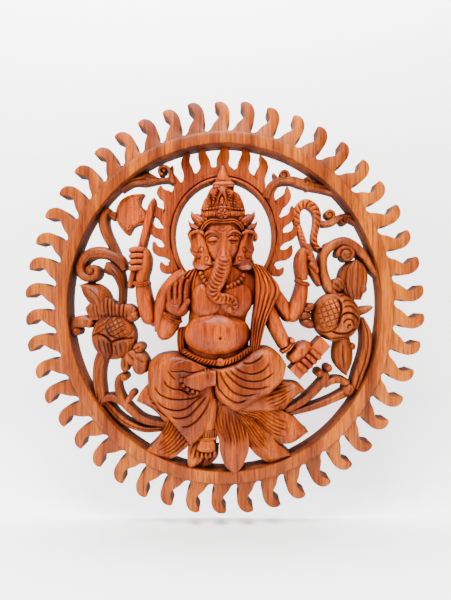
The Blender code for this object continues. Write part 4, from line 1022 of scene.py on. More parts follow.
# %% Left knee and drape
LEFT_FOLDS = [[(163.3, 377.7), (167.1, 385.3), (174.7, 389.1), (183.4, 390.6), (192, 396)],
              [(153, 382), (158.4, 392.9), (169.3, 398.3), (183.4, 399.4), (196, 397), (206, 391)],
              [(154.1, 397.2), (161.7, 405.9), (174.7, 410.3), (186.6, 408), (197.4, 399.2), (206, 393)],
              [(168, 414.6), (176.9, 418.4), (188.8, 415.7), (198.6, 405.9), (208, 394)],
              [(178, 426.6), (187.6, 426.6), (197.5, 420), (206.2, 408.1), (211.6, 394.1)]]
drape = patch("drape_left",
              [(202, 364.4), (191, 358.4), (182, 354.4), (170.4, 352.4), (156.3, 355.6), (149.6, 363),
               (147.4, 377.7), (149.6, 395), (157.4, 406), (172.5, 422.2), (190.6, 443)],
              [(206, 366), (210.6, 367.6), (213.8, 371), (215.4, 384), (216, 396), (214.6, 406),
               (211, 418), (205.6, 431), (199, 439), (191.4, 443.2)],
              [24, 22, 21, 20, 20, 21, 22, 24], [31, 34, 35.4, 36, 35.6, 35, 34, 32, 29], soft, step=0.5)
vein(drape, LEFT_FOLDS, 34, width=1.4, depth=1.9, lip=1.2)
vein(drape, [[(167.1, 370.1), (175, 371.6), (183.4, 371.2), (191, 372.8), (201, 371.4), (211.6, 368)],
             [(167.1, 370.1), (172, 376), (176, 380)]], 34, width=1.2, depth=1.6, lip=0.6)
vein(drape, [[(171, 357.6), (162, 361), (157, 369), (156.6, 377)],
             [(184, 360), (174, 363.4), (169, 367.6)]], 34, width=1.3, depth=0.7, lip=0.4)
dent(drape, (193, 384), (17, 10), 4.2, 34)
legs = [drape]
print("left drape", len(drape.data.vertices), "points")

# %% [markdown]
# ## Right knee
# The cloth over this knee is gathered at the middle of the belt, so its folds fan out from there.

# %% Right knee and drape
RIGHT_FOLDS = [[(215.4, 370), (217, 384.2), (222.4, 392.9), (230, 399.4), (238.7, 402.6), (250, 398)],
               [(218.3, 369), (224.7, 382), (233.4, 391.8), (245.2, 395.6), (259, 393)],
               [(222.7, 368.6), (231.2, 378.6), (243, 386.8), (258.3, 388.7), (272, 385)],
               [(227, 368), (236.6, 376), (248.5, 381), (262.6, 379.9), (276.5, 371)],
               [(232.4, 366.6), (243.1, 372.4), (255, 373.6), (264.6, 369.1), (270.9, 360.5)],
               [(241, 363.5), (250.9, 363.4), (259.6, 359.2), (264, 354)]]
drape = patch("drape_right", [(211.6, 366.6), (222, 366), (234, 362), (244, 356), (252, 350), (260, 347),
                              (270, 347.8), (279.6, 354.4), (285.4, 363)],
              [(211.8, 367), (213.8, 382), (215.6, 395), (223.3, 403.8), (238.7, 411.4), (255.9, 400.4),
               (271.2, 391.7), (282.4, 380), (285.6, 366)],
              [25, 24, 24, 24, 22], [32, 34.6, 35.4, 35.6, 35.4, 34, 31], soft, step=0.5)
vein(drape, RIGHT_FOLDS, 34, width=1.4, depth=1.9, lip=1.2)
vein(drape, [[(276.6, 356), (280.6, 365), (277.6, 376)]], 34, width=1.3, depth=0.8, lip=0.5)
legs.append(drape)
print("right drape", len(drape.data.vertices), "points")

# %% [markdown]
# ## Feet
# One foot lies across the lap with its sole up, the other hangs below the hem and stands on a small
# petal. Both have five round toes and rings round the ankle.

# %% Feet
foot = patch("foot_lap", [(216, 370), (208, 369.6), (199, 371.4), (190, 374.4), (182.4, 378.6)],
             [(216, 385.6), (208.6, 387), (201, 391), (193, 389.6), (184.4, 385.4)], 34,
             [37.6, 38.8, 39.2, 38.6, 37.4], soft, low=14, roll=0.8, step=0.45, ends=True)
legs.append(foot)
for k, (x, y, r) in enumerate([(181.4, 380.2, 2.9), (183.6, 385.4, 2.6), (187.7, 389.1, 2.5),
                               (192.6, 391.3, 2.4), (197.4, 392.5, 2.2)]):
    toe = boss(f"toe_lap_{k}", (x, y), (r, r), 33, 39.2 - 0.2 * k, low=14, step=0.4)
    legs.append(toe)
for k, x in enumerate((206.2, 209.4)):
    legs.append(band(f"anklet_lap_{k}", [(x - 1.4, 369, 1.3, 37.4), (x + 0.6, 377, 1.4, 40),
                                         (x - 1, 386, 1.3, 37.8)], drop=3, low=14, caps="<>", step=0.45))
shin = band("shin_low", [(208, 398, 10, 28), (207.4, 412, 9.8, 27.6), (206.6, 428, 9.4, 26.4),
                         (206.4, 438, 9.4, 26)], drop=9)
hem = patch("hem", [(195.6, 429), (195.8, 439.6)], [(217, 429), (216.8, 439.6)], 20, 27.4,
            lambda u, v: domed(u, v) * 0.5 + 0.5 * np.abs(np.sin(np.pi * 9 * v)) ** 0.6, step=0.42)
legs += [shin, hem]
legs.append(band("anklet_low", [(195.6, 438.4, 1.5, 26.4), (206.4, 440, 1.6, 29),
                                (217, 438.4, 1.5, 26.4)], drop=3, low=6, caps="<>",
                 rule=twisted(12, 0.8, 0.4), step=0.42))
foot = band("foot_low", [(206.3, 437, 8.4, 27), (206.3, 444, 9.6, 28.6), (206, 450, 10, 28.4),
                         (205.8, 452.4, 9.6, 25)], drop=9, rule=soft, step=0.45)
legs.append(foot)
for k in range(5):
    x = 197.8 + 4.15 * k
    y = 455 - 0.25 * (k - 2) ** 2
    legs.append(boss(f"toe_low_{k}", (x, y), (2.15, 3.5), 22, 30 - 0.15 * k, low=4, step=0.4))
unite("legs", legs, back=0.15)

# %% [markdown]
# ## Lotus seat
# Each petal is a shallow dome with veins that run together towards its root, and a raised edge.

# %% Lotus
def raised_edge(u, v):
    return domed(u, v) * 0.8 + 0.2 * (1 - 4 * v * (1 - v)) ** 4


def petal(name, side_a, side_b, edge, crown, veins, reach=0.72):
    """A petal between two edges that meet at its tip. Its veins fan out, the middle ones longest."""
    form = patch(name, side_a, side_b, edge, crown, raised_edge, step=0.5)
    lines = []
    for k in range(1, veins + 1):
        middle = k / (veins + 1)
        length = reach * (0.72 + 0.28 * math.sin(math.pi * middle)) * (1 - 0.08 * (k % 2))
        share = np.linspace(0.02, length, 12)
        a, b = along(side_a, share), along(side_b, share)
        lines.append((a + (b - a) * middle).tolist())
    return vein(form, lines, float(np.mean(crown)), width=1.25, depth=1.7, fade=0.2)


lotus = [boss("lotus_heart", (246, 402), (40, 19), 14, 24)]
lotus += [
    petal("petal_right_high",
          [(250, 424), (268, 417), (281, 411.6), (289.6, 401.8), (297, 395), (304.9, 389.9)],
          [(250, 388), (270, 382.6), (284, 381.4), (297.3, 382.6), (304.9, 389.5)],
          [13, 14, 18], [25, 25.6, 20], 7, 0.85),
    petal("petal_right_mid",
          [(236, 418), (256, 425), (266, 436), (277, 442.4), (291.8, 442.2), (307.4, 431.3)],
          [(240, 400), (262, 402), (281, 410), (292.8, 416.4), (303.4, 427.2), (307.8, 430.6)],
          [14, 17, 20], [26, 26.6, 23], 8, 0.8),
    petal("petal_right_low",
          [(232, 414), (243, 434), (249.5, 447.1), (259.3, 456.9), (273.4, 462), (289.4, 454)],
          [(236, 408), (252, 412), (264.7, 423.6), (274.5, 439.7), (284, 448), (290, 453.2)],
          [14, 18, 22], [27, 27.6, 25], 8, 0.75),
    petal("petal_left_low",
          [(196, 440), (183.4, 450.4), (175, 456.4), (165, 459.8), (156.3, 458.4), (146, 450.8)],
          [(172, 404), (166, 424.4), (161.7, 432), (157, 439), (151, 445.6), (146, 450)],
          [14, 20, 22], [26, 27, 25], 8, 0.8),
    petal("petal_left_high", [(170, 428), (156, 412), (147, 405.6), (137.4, 401)],
          [(160, 376), (152, 381), (142.4, 389.4), (137, 399.6)], [14, 18], [24, 21], 5, 0.6),
    petal("petal_middle",
          [(216, 404), (212.6, 418), (214.4, 428), (219, 440), (220.3, 452.6), (225.7, 465.6),
           (234.2, 472.8)],
          [(242, 408), (247.6, 430), (249.2, 447), (244.6, 461), (240, 468.4), (234.8, 473)],
          [17, 22, 25], [28, 30, 27], 9, 0.68),
    petal("petal_foot_left", [(196, 436), (188.3, 446), (187.4, 458), (188.3, 470)],
          [(210, 440), (207, 452), (200, 462), (189.4, 470.4)], [16, 22], [22, 24], 3),
    petal("petal_foot", [(192, 450), (191, 460), (192, 470), (198.6, 473)],
          [(219, 446), (218, 456), (211, 464), (199.6, 473.2)], [12, 15], [16, 18], 3),
]
unite("lotus", lotus, back=0.25)

# %% [markdown]
# ## Flower heads, leaves and stems
# Each flower head is a round bud wrapped in petals, with a window of fine netting. The netting is
# a dome with a lattice of small pyramids, cut with crossing V cuts. Leaves are ribbed patches, and
# the stems are two- or three-ridged bands that end in balls and hooks.

# %% Shared ornaments
def netting(pitch, depth, slant):
    """A lattice of small cushions."""
    def skin(across, up):
        a = (across * math.cos(slant) + up * math.sin(slant)) / pitch
        b = (-across * math.sin(slant) + up * math.cos(slant)) / pitch
        tent = np.minimum(np.abs(a - np.round(a)), np.abs(b - np.round(b))) * 2
        return -depth * (1 - np.clip(tent * 2.2, 0, 1) ** 0.5)
    return skin


def spiral(name, centre, radius, start, turns, half, low_crown, high_crown, ways=1):
    """A stem that curls in and rises to its eye."""
    steps = np.linspace(0, 1, 14)
    angle = math.radians(start) + ways * steps * turns * 2 * math.pi
    size = radius * (1 - steps) ** 0.8 + 0.4
    path = [(centre[0] + r * math.cos(a), centre[1] - r * math.sin(a), half * (1 - 0.45 * s),
             low_crown + (high_crown - low_crown) * s) for s, a, r in zip(steps, angle, size)]
    return band(name, path, drop=3.4, caps="<>", step=0.45)


def ball(name, centre, radius, edge, crown, curl=1):
    """A small curled ball: a dome with a spiral cut."""
    form = boss(name, centre, (radius, radius * 0.96), edge, crown, step=0.42)
    angle = np.linspace(0.6, 0.6 + 3.2 * math.pi, 30)
    size = radius * 0.8 * (1 - (angle - 0.6) / (3.7 * math.pi))
    line = np.stack([centre[0] + curl * size * np.cos(angle), centre[1] + size * np.sin(angle)], 1)
    return vein(form, [line.tolist()], crown, width=0.9, depth=1.1)


# %% [markdown]
# ## Left flower head
# The bud is one dome. Its window of netting is part of the dome's skin, and its petals are parted by
# deep cuts with a raised lip, so each petal seems to lie over the next.

# %% Left flower: bud
def window(centre, half, turn, pitch, slant):
    """Netting inside a tilted oval on a bud; centre is (across, up) from the bud's middle."""
    lattice = netting(pitch, 1.7, slant)
    cos_turn, sin_turn = math.cos(math.radians(turn)), math.sin(math.radians(turn))

    def skin(across, up):
        own_across = (across - centre[0]) * cos_turn + (up - centre[1]) * sin_turn
        own_up = (up - centre[1]) * cos_turn - (across - centre[0]) * sin_turn
        share = np.hypot(own_across / half[0], own_up / half[1])
        inside = np.clip((1 - share) * 9, 0, 1)
        swelling = 2.2 * np.sqrt(np.clip(1 - share ** 2, 0, 1))
        border = 1.6 * np.exp(-((share - 1) / 0.07) ** 2)
        return inside * (lattice(across, up) + swelling) - border
    return skin


def fluted_fan(u, v):
    """Flutes side by side, highest a little outside their middle."""
    flutes = 0.68 + 0.32 * np.abs(np.sin(np.pi * 13 * u)) ** 0.5
    return flutes * (0.6 + 0.4 * np.sin(np.pi * np.clip(v * 1.2, 0, 1)))


bud = boss("bud_left", (112.2, 337.2), (22.8, 23.6), 13, 29,
           skin=window((8.2, 11), (13.4, 11.4), -14, 4.4, 0.5), step=0.42)
vein(bud, [[(89.6, 337), (96, 334), (101.4, 334.6), (107, 337.4), (111.4, 341.6), (116, 340),
            (123, 338.6), (133.6, 338.6)], [(111.2, 341.6), (111.4, 348), (110.4, 355), (104, 360.4)]],
     28, width=1.7, depth=2.6, lip=1.2, fade=0.06)
vein(bud, [[(91.6, 330), (95, 324.6), (100.6, 320.4), (107, 317.6)],
           [(92.6, 334), (97, 328.6), (102, 325), (106, 323)],
           [(98, 333.6), (101.6, 330.4), (105, 328.6)]], 28, width=1.3, depth=1.4, lip=0.9)
vein(bud, [[(93.6, 341), (94.4, 347), (97.6, 354)], [(98.4, 339), (99, 347), (101.6, 357)],
           [(103.4, 339.6), (104.6, 347), (105.8, 356)],
           [(107.6, 342), (108.6, 349), (108.6, 354)]], 28, width=1.4, depth=1.6, lip=1.0)
vein(bud, [[(115, 343.4), (115.6, 350), (116.9, 357)], [(119.6, 342), (120.4, 349), (121.4, 356)],
           [(124.2, 341.6), (125, 347), (124.8, 353.6)],
           [(128.6, 341), (129, 345), (128, 350)]], 28, width=1.3, depth=1.4, lip=0.7)
flower = [bud]
apron = patch("sepals_left", [(85.6, 307.6), (91, 303), (97, 302.4), (103, 298.4), (108, 297.6),
                              (113, 299.4), (118, 303.6), (124, 304), (131, 304.6), (137, 309)],
              [(90, 320), (100, 320), (112, 320), (124, 320), (134, 320)], 15, [19, 22.6, 24, 22.6, 19],
              fluted_fan, step=0.42)
flower.append(apron)
print("left bud", len(bud.data.vertices), "points")

# %% [markdown]
# ## Leaves of the left flower
# A large leaf and a narrow feathered one rise behind the bud, a lobed one hangs at its lower right,
# and a curled tendril ties it to the ring.

# %% Left flower: leaves
leaf = patch("leaf_left_big", [(97, 315), (91, 305.6), (83.4, 295), (80.6, 285.6)],
             [(113, 314), (111.6, 300), (106.6, 289.6), (97.6, 283.4), (87.6, 282.4), (81, 284.8)], 13,
             [22, 22.4, 20], domed, step=0.5)
vein(leaf, [[(86.6, 288.4), (93, 292.6), (98.6, 299), (102, 308)]], 22, width=1.2, depth=1.2, lip=0.5)
vein(leaf, [[(91, 299.4), (95.4, 304.6), (98.4, 311)], [(98, 291.6), (104, 298), (106.6, 306)]], 22,
     width=1.1, depth=0.8)
flower.append(leaf)
leaf = patch("leaf_left_acanthus", [(105.6, 263.8), (103.4, 270.7), (107, 274.6), (112, 276.6),
                                    (116, 283), (118.4, 292), (117, 312)],
             [(110, 261.6), (116, 262.4), (122, 268), (124.8, 276), (125.6, 288), (125, 299),
              (123.6, 312)], 13, [20, 21.6, 21], domed, step=0.45)
vein(leaf, [[(106.6, 268.6), (112, 271), (117, 278), (120, 288), (120.2, 306)],
            [(110.6, 265.6), (117, 270), (121.4, 279), (122.8, 292), (122.4, 306)]],
     22, width=1.1, depth=1.3, lip=0.5)
flower += [leaf, boss("leaf_left_side", (128.6, 309), (7.4, 5.4), 13, 21, -24, step=0.5)]
for name, centre, half, turn, line in (
        ("heart", (131, 357), (9, 9), 30, [(127, 353), (132, 358), (137, 363)]),
        ("high", (138.4, 347.8), (6.6, 5.6), 10, [(129, 353), (134.6, 349.4), (141, 346.6)]),
        ("mid", (140, 362.4), (9, 12.4), 20, [(130, 354.6), (138, 359.6), (145, 363.6)]),
        ("edge", (139, 366), (7.6, 9.6), 10, [(129, 356), (135.4, 363.6), (139.6, 371.6)]),
        ("low", (124.8, 363.6), (5, 9.6), -4, [(125, 354), (124.6, 362), (125, 370)])):
    lobe = boss("leaf_left_low_" + name, centre, half, 13, 21, turn, power=2.4, step=0.5)
    flower.append(vein(lobe, [line], 20.6, width=1.4, depth=1.5, lip=0.4))
tendril = [(94, 325, 5, 19), (85, 321.6, 6, 20), (76, 322.6, 6, 20), (70.4, 328, 5.6, 19.4),
           (65, 336, 4.8, 18)]
flower += [band("tendril_left", tendril, drop=5.6, caps="<", step=0.5),
           ball("tendril_left_ball", (75.4, 331), 5.4, 12, 21)]
small = boss("leaf_left_small", (131.6, 316.6), (8.4, 5.4), 13, 21, 40, step=0.5)
flower.append(vein(small, [[(126, 311), (131.6, 316.6), (137, 323)]], 20, width=1.1, depth=1.2))
print("left flower with leaves", len(flower), "forms")

# %% [markdown]
# ## Scroll and horn
# A broad stem curls over the leaves to a raised eye. A thinner one rises from it to the axe.

# %% Left flower: scroll and horn
scroll = band("scroll_left", [(123.6, 270, 3.6, 19), (118.6, 260.6, 5.8, 20), (110, 254.8, 6, 20.4),
                              (100, 252, 5.9, 20.6), (90.4, 253.4, 5.7, 20.8), (82.8, 258.8, 5.5, 21),
                              (79.2, 266.8, 5.4, 21), (82, 274.6, 5, 21.2), (88.8, 277.8, 4.5, 21.6),
                              (95, 275.6, 4, 22.2), (97, 270.4, 3.3, 22.8), (93.6, 267, 2.7, 23.2),
                              (90.2, 269.4, 2.2, 23.6)], drop=6.4, caps=">", step=0.5)
vein(scroll, [[(121, 268), (115, 259.6), (104, 254.4), (93, 254.4), (85.4, 259.6), (82.6, 267),
               (85.4, 273)]], 21, width=1.0, depth=0.9)
horn = band("horn_left", [(121.6, 266, 3.4, 18), (113, 248, 4.2, 18.6), (105.4, 233, 4.9, 19),
                          (102.6, 221, 4.9, 19), (105.4, 212.6, 4.3, 18.6),
                          (111.6, 210.6, 3.4, 18)], drop=6, caps=">", step=0.5)
vein(horn, [[(119, 261), (111.6, 246), (104.6, 231), (103, 220)]], 18.6, width=1.0, depth=1.0, lip=0.4)
flower += [scroll, horn, ball("horn_left_ball", (112.4, 215), 4.6, 11, 19),
           ball("scroll_left_eye", (90.8, 270.6), 6.4, 13, 23.4)]
print("left flower with scroll and horn", len(flower), "forms")

# %% [markdown]
# ## Stems of the left flower
# The main stem runs down from the bud to the ring, and two lower stems sweep to the lotus.

# %% Left flower: stems
def stem_rule(ridges):
    """A stem with rounded ridges along it."""
    return lambda u, v: 0.2 + 0.55 * rounded(u, v) + 0.25 * np.abs(np.sin(np.pi * ridges * v)) ** 0.6


def stem(name, path, drop, ridges=2, caps=""):
    return band(name, path, drop=drop, rule=stem_rule(ridges), caps=caps, step=0.5)


flower += [
    stem("stem_left_main", [(105, 350, 7, 20), (99.8, 362, 6.2, 20.6), (98, 374, 5.8, 20.6),
                            (98.6, 386, 5.6, 20.6), (99.6, 396, 5.4, 20), (97, 408, 4.6, 18)],
         drop=7, ridges=3),
    stem("stem_left_high", [(174, 424.6, 3.4, 17), (160, 423.4, 3.6, 17.6), (149.7, 422, 3.7, 18),
                            (140.5, 418.4, 3.9, 18), (131.8, 411.4, 4, 18.4), (124, 403.6, 4.1, 18.6),
                            (115, 398.4, 4, 18.6), (106.4, 398.4, 3.9, 18.6), (100.4, 402.6, 3.8, 18),
                            (96.4, 409, 4, 17)], drop=6),
    stem("stem_left_low", [(174, 427, 3.2, 15.6), (150, 429.6, 3.3, 16), (138, 427.6, 3.6, 16.4),
                           (127, 423, 3.8, 16.6), (117, 415.6, 3.8, 16.6), (110, 407, 3.8, 16.4),
                           (104, 400, 3.8, 16)], drop=5.6),
    band("hook_left", [(126, 406, 3.6, 18), (119.6, 396, 3.8, 19), (117.2, 386, 3.3, 19.4),
                       (118.4, 379, 3.2, 19.6), (122, 375.6, 3.2, 19.6)], drop=6, caps=">", step=0.5),
    ball("hook_left_ball", (123.6, 377.4), 4.7, 12, 20.4),
    band("nub_left", [(125, 404, 3.4, 17), (129, 398.8, 3.2, 17.6), (133, 393.6, 3, 17.6)], drop=5,
         caps=">", step=0.5),
    ball("nub_left_ball", (132.4, 394), 4.2, 10, 18),
]
unite("left_flower", flower, back=0.1)

# %% [markdown]
# ## Right flower head
# The right flower head leans the other way. Its net sits on the left, three ridged petals above,
# a scalloped one on the right and a crescent below, and a crozier curls over the top.

# %% Right flower: bud
bud = boss("bud_right", (338.2, 317), (24.4, 25.6), 13, 29,
           skin=window((-11, 4.8), (12.4, 17.6), -12, 5.0, 0.35), step=0.42)
vein(bud, [[(340, 299), (341.4, 308), (339.6, 318), (344.6, 313.6), (351, 313), (358, 317.6), (361, 324)],
           [(339.6, 318), (338, 326), (332, 331), (324, 333), (317, 331)],
           [(332, 331), (340, 333.4), (349, 333), (358, 328)]],
     28, width=1.7, depth=2.6, lip=1.2, fade=0.06)
vein(bud, [[(340, 297), (349, 295), (357, 299.6), (361, 305.6)],
           [(342.6, 302.4), (350, 300.4), (356.4, 304.4), (360.6, 310.4)],
           [(343.4, 307.6), (350, 306.2), (355.6, 309.2), (359.6, 314)]], 28, width=1.5, depth=1.8,
     lip=1.1)
vein(bud, [[(342.6, 325), (345.6, 320), (351, 319.4), (355, 323.6), (354.6, 328.6)],
           [(347.6, 328), (349.4, 324.6), (352, 326)]], 28, width=1.4, depth=1.8, lip=0.9)
vein(bud, [[(320, 336.6), (328, 338), (337, 338), (347, 336.6), (356, 332)],
           [(324.6, 340), (333, 341.6), (343, 340.6), (351, 337)]], 27, width=1.3, depth=1.5, lip=0.8)
flower = [bud]
print("right bud", len(bud.data.vertices), "points")

# %% [markdown]
# ## Leaves of the right flower
# A fluted leaf stands above the bud, a three-lobed one at its left, and a pointed one hangs below.
# The crozier that curls over the top is a band with a curled ball at its eye.

# %% Right flower: leaves
leaf = patch("leaf_right_big",
             [(346, 300), (341, 291), (338.4, 281), (340.6, 270), (347, 262.6), (354.4, 259.6)],
             [(361, 300), (364, 292), (367, 284), (367.4, 273), (363, 264.4), (355.6, 259.8)],
             13, [21, 23, 23, 20], ribs(5, 0.2), step=0.45)
small = boss("leaf_right_small", (338.4, 285), (8.4, 7.4), 13, 21.6, 35, power=2.4, step=0.45)
vein(small, [[(345, 293), (339, 287), (332.6, 283)], [(346, 291), (342, 284), (338, 278.6)],
             [(341, 294), (336, 290), (331.6, 288)]], 21, width=1.2, depth=1.3, lip=0.5)
lobe = boss("leaf_right_lobe", (362, 288.6), (6, 5.6), 13, 21, 0, step=0.45)
vein(lobe, [[(354, 293), (360, 289.6), (366, 286)], [(356, 295), (361.6, 292.4), (366, 290.6)]], 20.6,
     width=1.2, depth=1.1, lip=0.4)
flower += [leaf, small, lobe]
for k, spot in enumerate([(308.6, 308), (304.8, 315.4), (308.2, 323.4)]):
    lobe = boss(f"leaf_right_lobe_{k}", spot, (7.8, 5), 13, 20.6, 28 * (1 - k), step=0.5)
    flower.append(vein(lobe, [[(spot[0] - 6, spot[1] + 3 * (k - 1)), spot,
                               (spot[0] + 6, spot[1] - 3 * (k - 1))]], 20, width=1.0, depth=1.0))
arch = band("arch_right", [(337, 298, 4.4, 19), (328, 283, 4.8, 20), (323.4, 269, 4.8, 20.4),
                           (324, 255.6, 4.8, 20.6), (332, 245.6, 5, 20.8), (344, 241.6, 5.2, 21),
                           (354.6, 246.4, 5.2, 21), (363.6, 255.6, 5, 20.8), (372, 266, 4.6, 20),
                           (383, 278, 4, 18)], drop=6.4, step=0.5)
vein(arch, [[(331, 285), (326.6, 270), (327.4, 257), (334, 248.6), (344.4, 245), (353.4, 249.6),
             (362, 259), (372, 270)]], 20.6, width=1.1, depth=1.1)
flower += [arch, spiral("arch_right_curl", (346.8, 254.2), 7.6, 200, 1.6, 3.4, 19, 23.6, -1),
           boss("arch_right_eye", (346.8, 254.2), (5, 5), 14, 24, step=0.45),
           boss("rope_foot", (328, 245.6), (4, 3.8), 10, 17.6)]
flower += [band("hook_right", [(358, 312, 4.4, 18), (366, 309.6, 3.8, 19), (373, 306.6, 1.6, 18)], drop=5,
                caps=">", step=0.5)]
leaf = patch("leaf_right_low", [(336, 338), (333.4, 349), (333.8, 360.5), (338.6, 368.6), (345, 375)],
             [(350, 338), (352.6, 350), (352.4, 360.5), (350, 368), (345.8, 375)], 13, [20, 21.6, 20],
             domed, step=0.5)
flower += [vein(leaf, [[(343.4, 342), (343.4, 356), (345.2, 373)]], 21, width=1.6, depth=2.0),
           ball("curl_right", (352, 346.6), 4.4, 12, 19.6)]
print("right flower with leaves", len(flower), "forms")

# %% [markdown]
# ## Stems of the right flower
# A broad spear runs up beside the bud, and two stems sweep left to the lotus with a hook and a knob.

# %% Right flower: stems
flower += [
    stem("stem_right_main", [(362, 318, 2.6, 19), (366.6, 332, 4.8, 20.4), (367.4, 346, 5.6, 20.6),
                             (364.8, 360, 6, 20.6), (360, 374, 6, 20), (355.6, 389, 5.4, 18.6)], drop=7),
    stem("stem_right_low", [(286, 413.6, 3.4, 16), (302, 410, 3.6, 16.4), (317, 405.6, 3.8, 16.6),
                            (332, 399.6, 3.8, 16.6), (346, 392.6, 4.6, 16.6),
                            (362, 383, 5, 16.6)], drop=5.6),
    stem("stem_right_high", [(286, 411, 3.4, 17), (300, 403.4, 3.8, 18), (310, 395.6, 4.2, 18.4),
                             (319, 386.6, 4.4, 18.6), (325, 379, 4.4, 18.6), (325, 371, 4.4, 18.6)],
         drop=6, caps=">"),
    band("stem_right_branch", [(324, 386, 3.6, 18), (331.6, 381, 4, 18.4), (341.8, 380.4, 4, 18.4),
                               (350, 385.6, 4.4, 18.4)], drop=6, caps=">", step=0.5),
    ball("stem_right_knob", (349.6, 390), 6.8, 12, 21.6),
    ball("stem_right_ball", (319.5, 373), 5, 12, 20.6, -1),
    ball("stem_right_bud", (328.6, 368.6), 4.6, 12, 20.6),
]
unite("right_flower", flower, back=0.3)

# %% [markdown]
# ## Small scrolls
# Cloud scrolls tie the halo to the ring at the top left, top right and right.

# %% Small scrolls
scrolls = [
    patch("scroll_top_left", [(122, 185), (132, 177.6), (140, 174.4), (147, 171.6), (153, 174.4),
                              (159, 177.8), (166, 177.6), (172, 174)],
          [(122, 192), (134, 185.4), (145, 185.6), (152, 184.2), (160, 182.6), (167, 182.2), (176, 185)],
          11, 15.4, ribs(2, 0.3)),
    band("scroll_top_left_neck", [(173, 183, 2.4, 15), (171, 175.4, 2.4, 16), (168.6, 169, 2.3, 16.4),
                                  (163.8, 166.4, 2.2, 16.6), (159.6, 169.2, 2.1, 16.8),
                                  (160.4, 173.6, 1.9, 17), (164, 174.4, 1.7, 17)], drop=5, caps=">",
         step=0.45),
    boss("scroll_top_left_tip", (164, 170.6), (2.4, 2.4), 10, 17.4, step=0.42),
    boss("scroll_top_left_eye", (148, 178.6), (3.4, 3), 11, 17.4, step=0.45),
    stem("scroll_top_right", [(266, 198, 4.6, 14), (270.6, 187, 4.2, 14.6), (279, 181, 4, 15),
                              (291, 180, 4.1, 15), (302, 183, 4.6, 15), (312, 185.6, 4.4, 14.6),
                              (324, 188, 4.2, 14.4), (338, 192, 4.2, 14)], drop=5),
    spiral("scroll_top_right_curl", (284, 175), 5, 250, 1.4, 2.4, 14, 16.6),
    boss("scroll_top_right_tip", (284, 175), (2.4, 2.4), 10, 16.8, step=0.45),
    spiral("scroll_top_right_low", (307, 182.4), 5.2, 250, 1.4, 2.5, 14, 16.6),
    boss("scroll_top_right_eye", (307, 182.4), (2.4, 2.4), 10, 16.8, step=0.45),
    stem("scroll_side", [(318, 222, 3, 13.6), (325, 223.6, 3.2, 14.4), (333, 222, 3.4, 14.6),
                         (340, 217.6, 3.4, 14.6), (349, 217.4, 3.8, 14.6), (363, 224, 4.4, 14)], drop=5),
    spiral("scroll_side_curl", (329.6, 214.6), 5, 250, 1.4, 2.4, 14, 16.6),
    boss("scroll_side_eye", (329.6, 214.6), (2.4, 2.4), 10, 16.8, step=0.45),
    spiral("scroll_side_low", (344.6, 220.6), 4, 70, 1.2, 2.1, 14, 16.2),
    boss("scroll_side_tip", (344.6, 220.6), (2.2, 2.2), 10, 16.4, step=0.45),
]
unite("small_scrolls", scrolls, back=0.15)
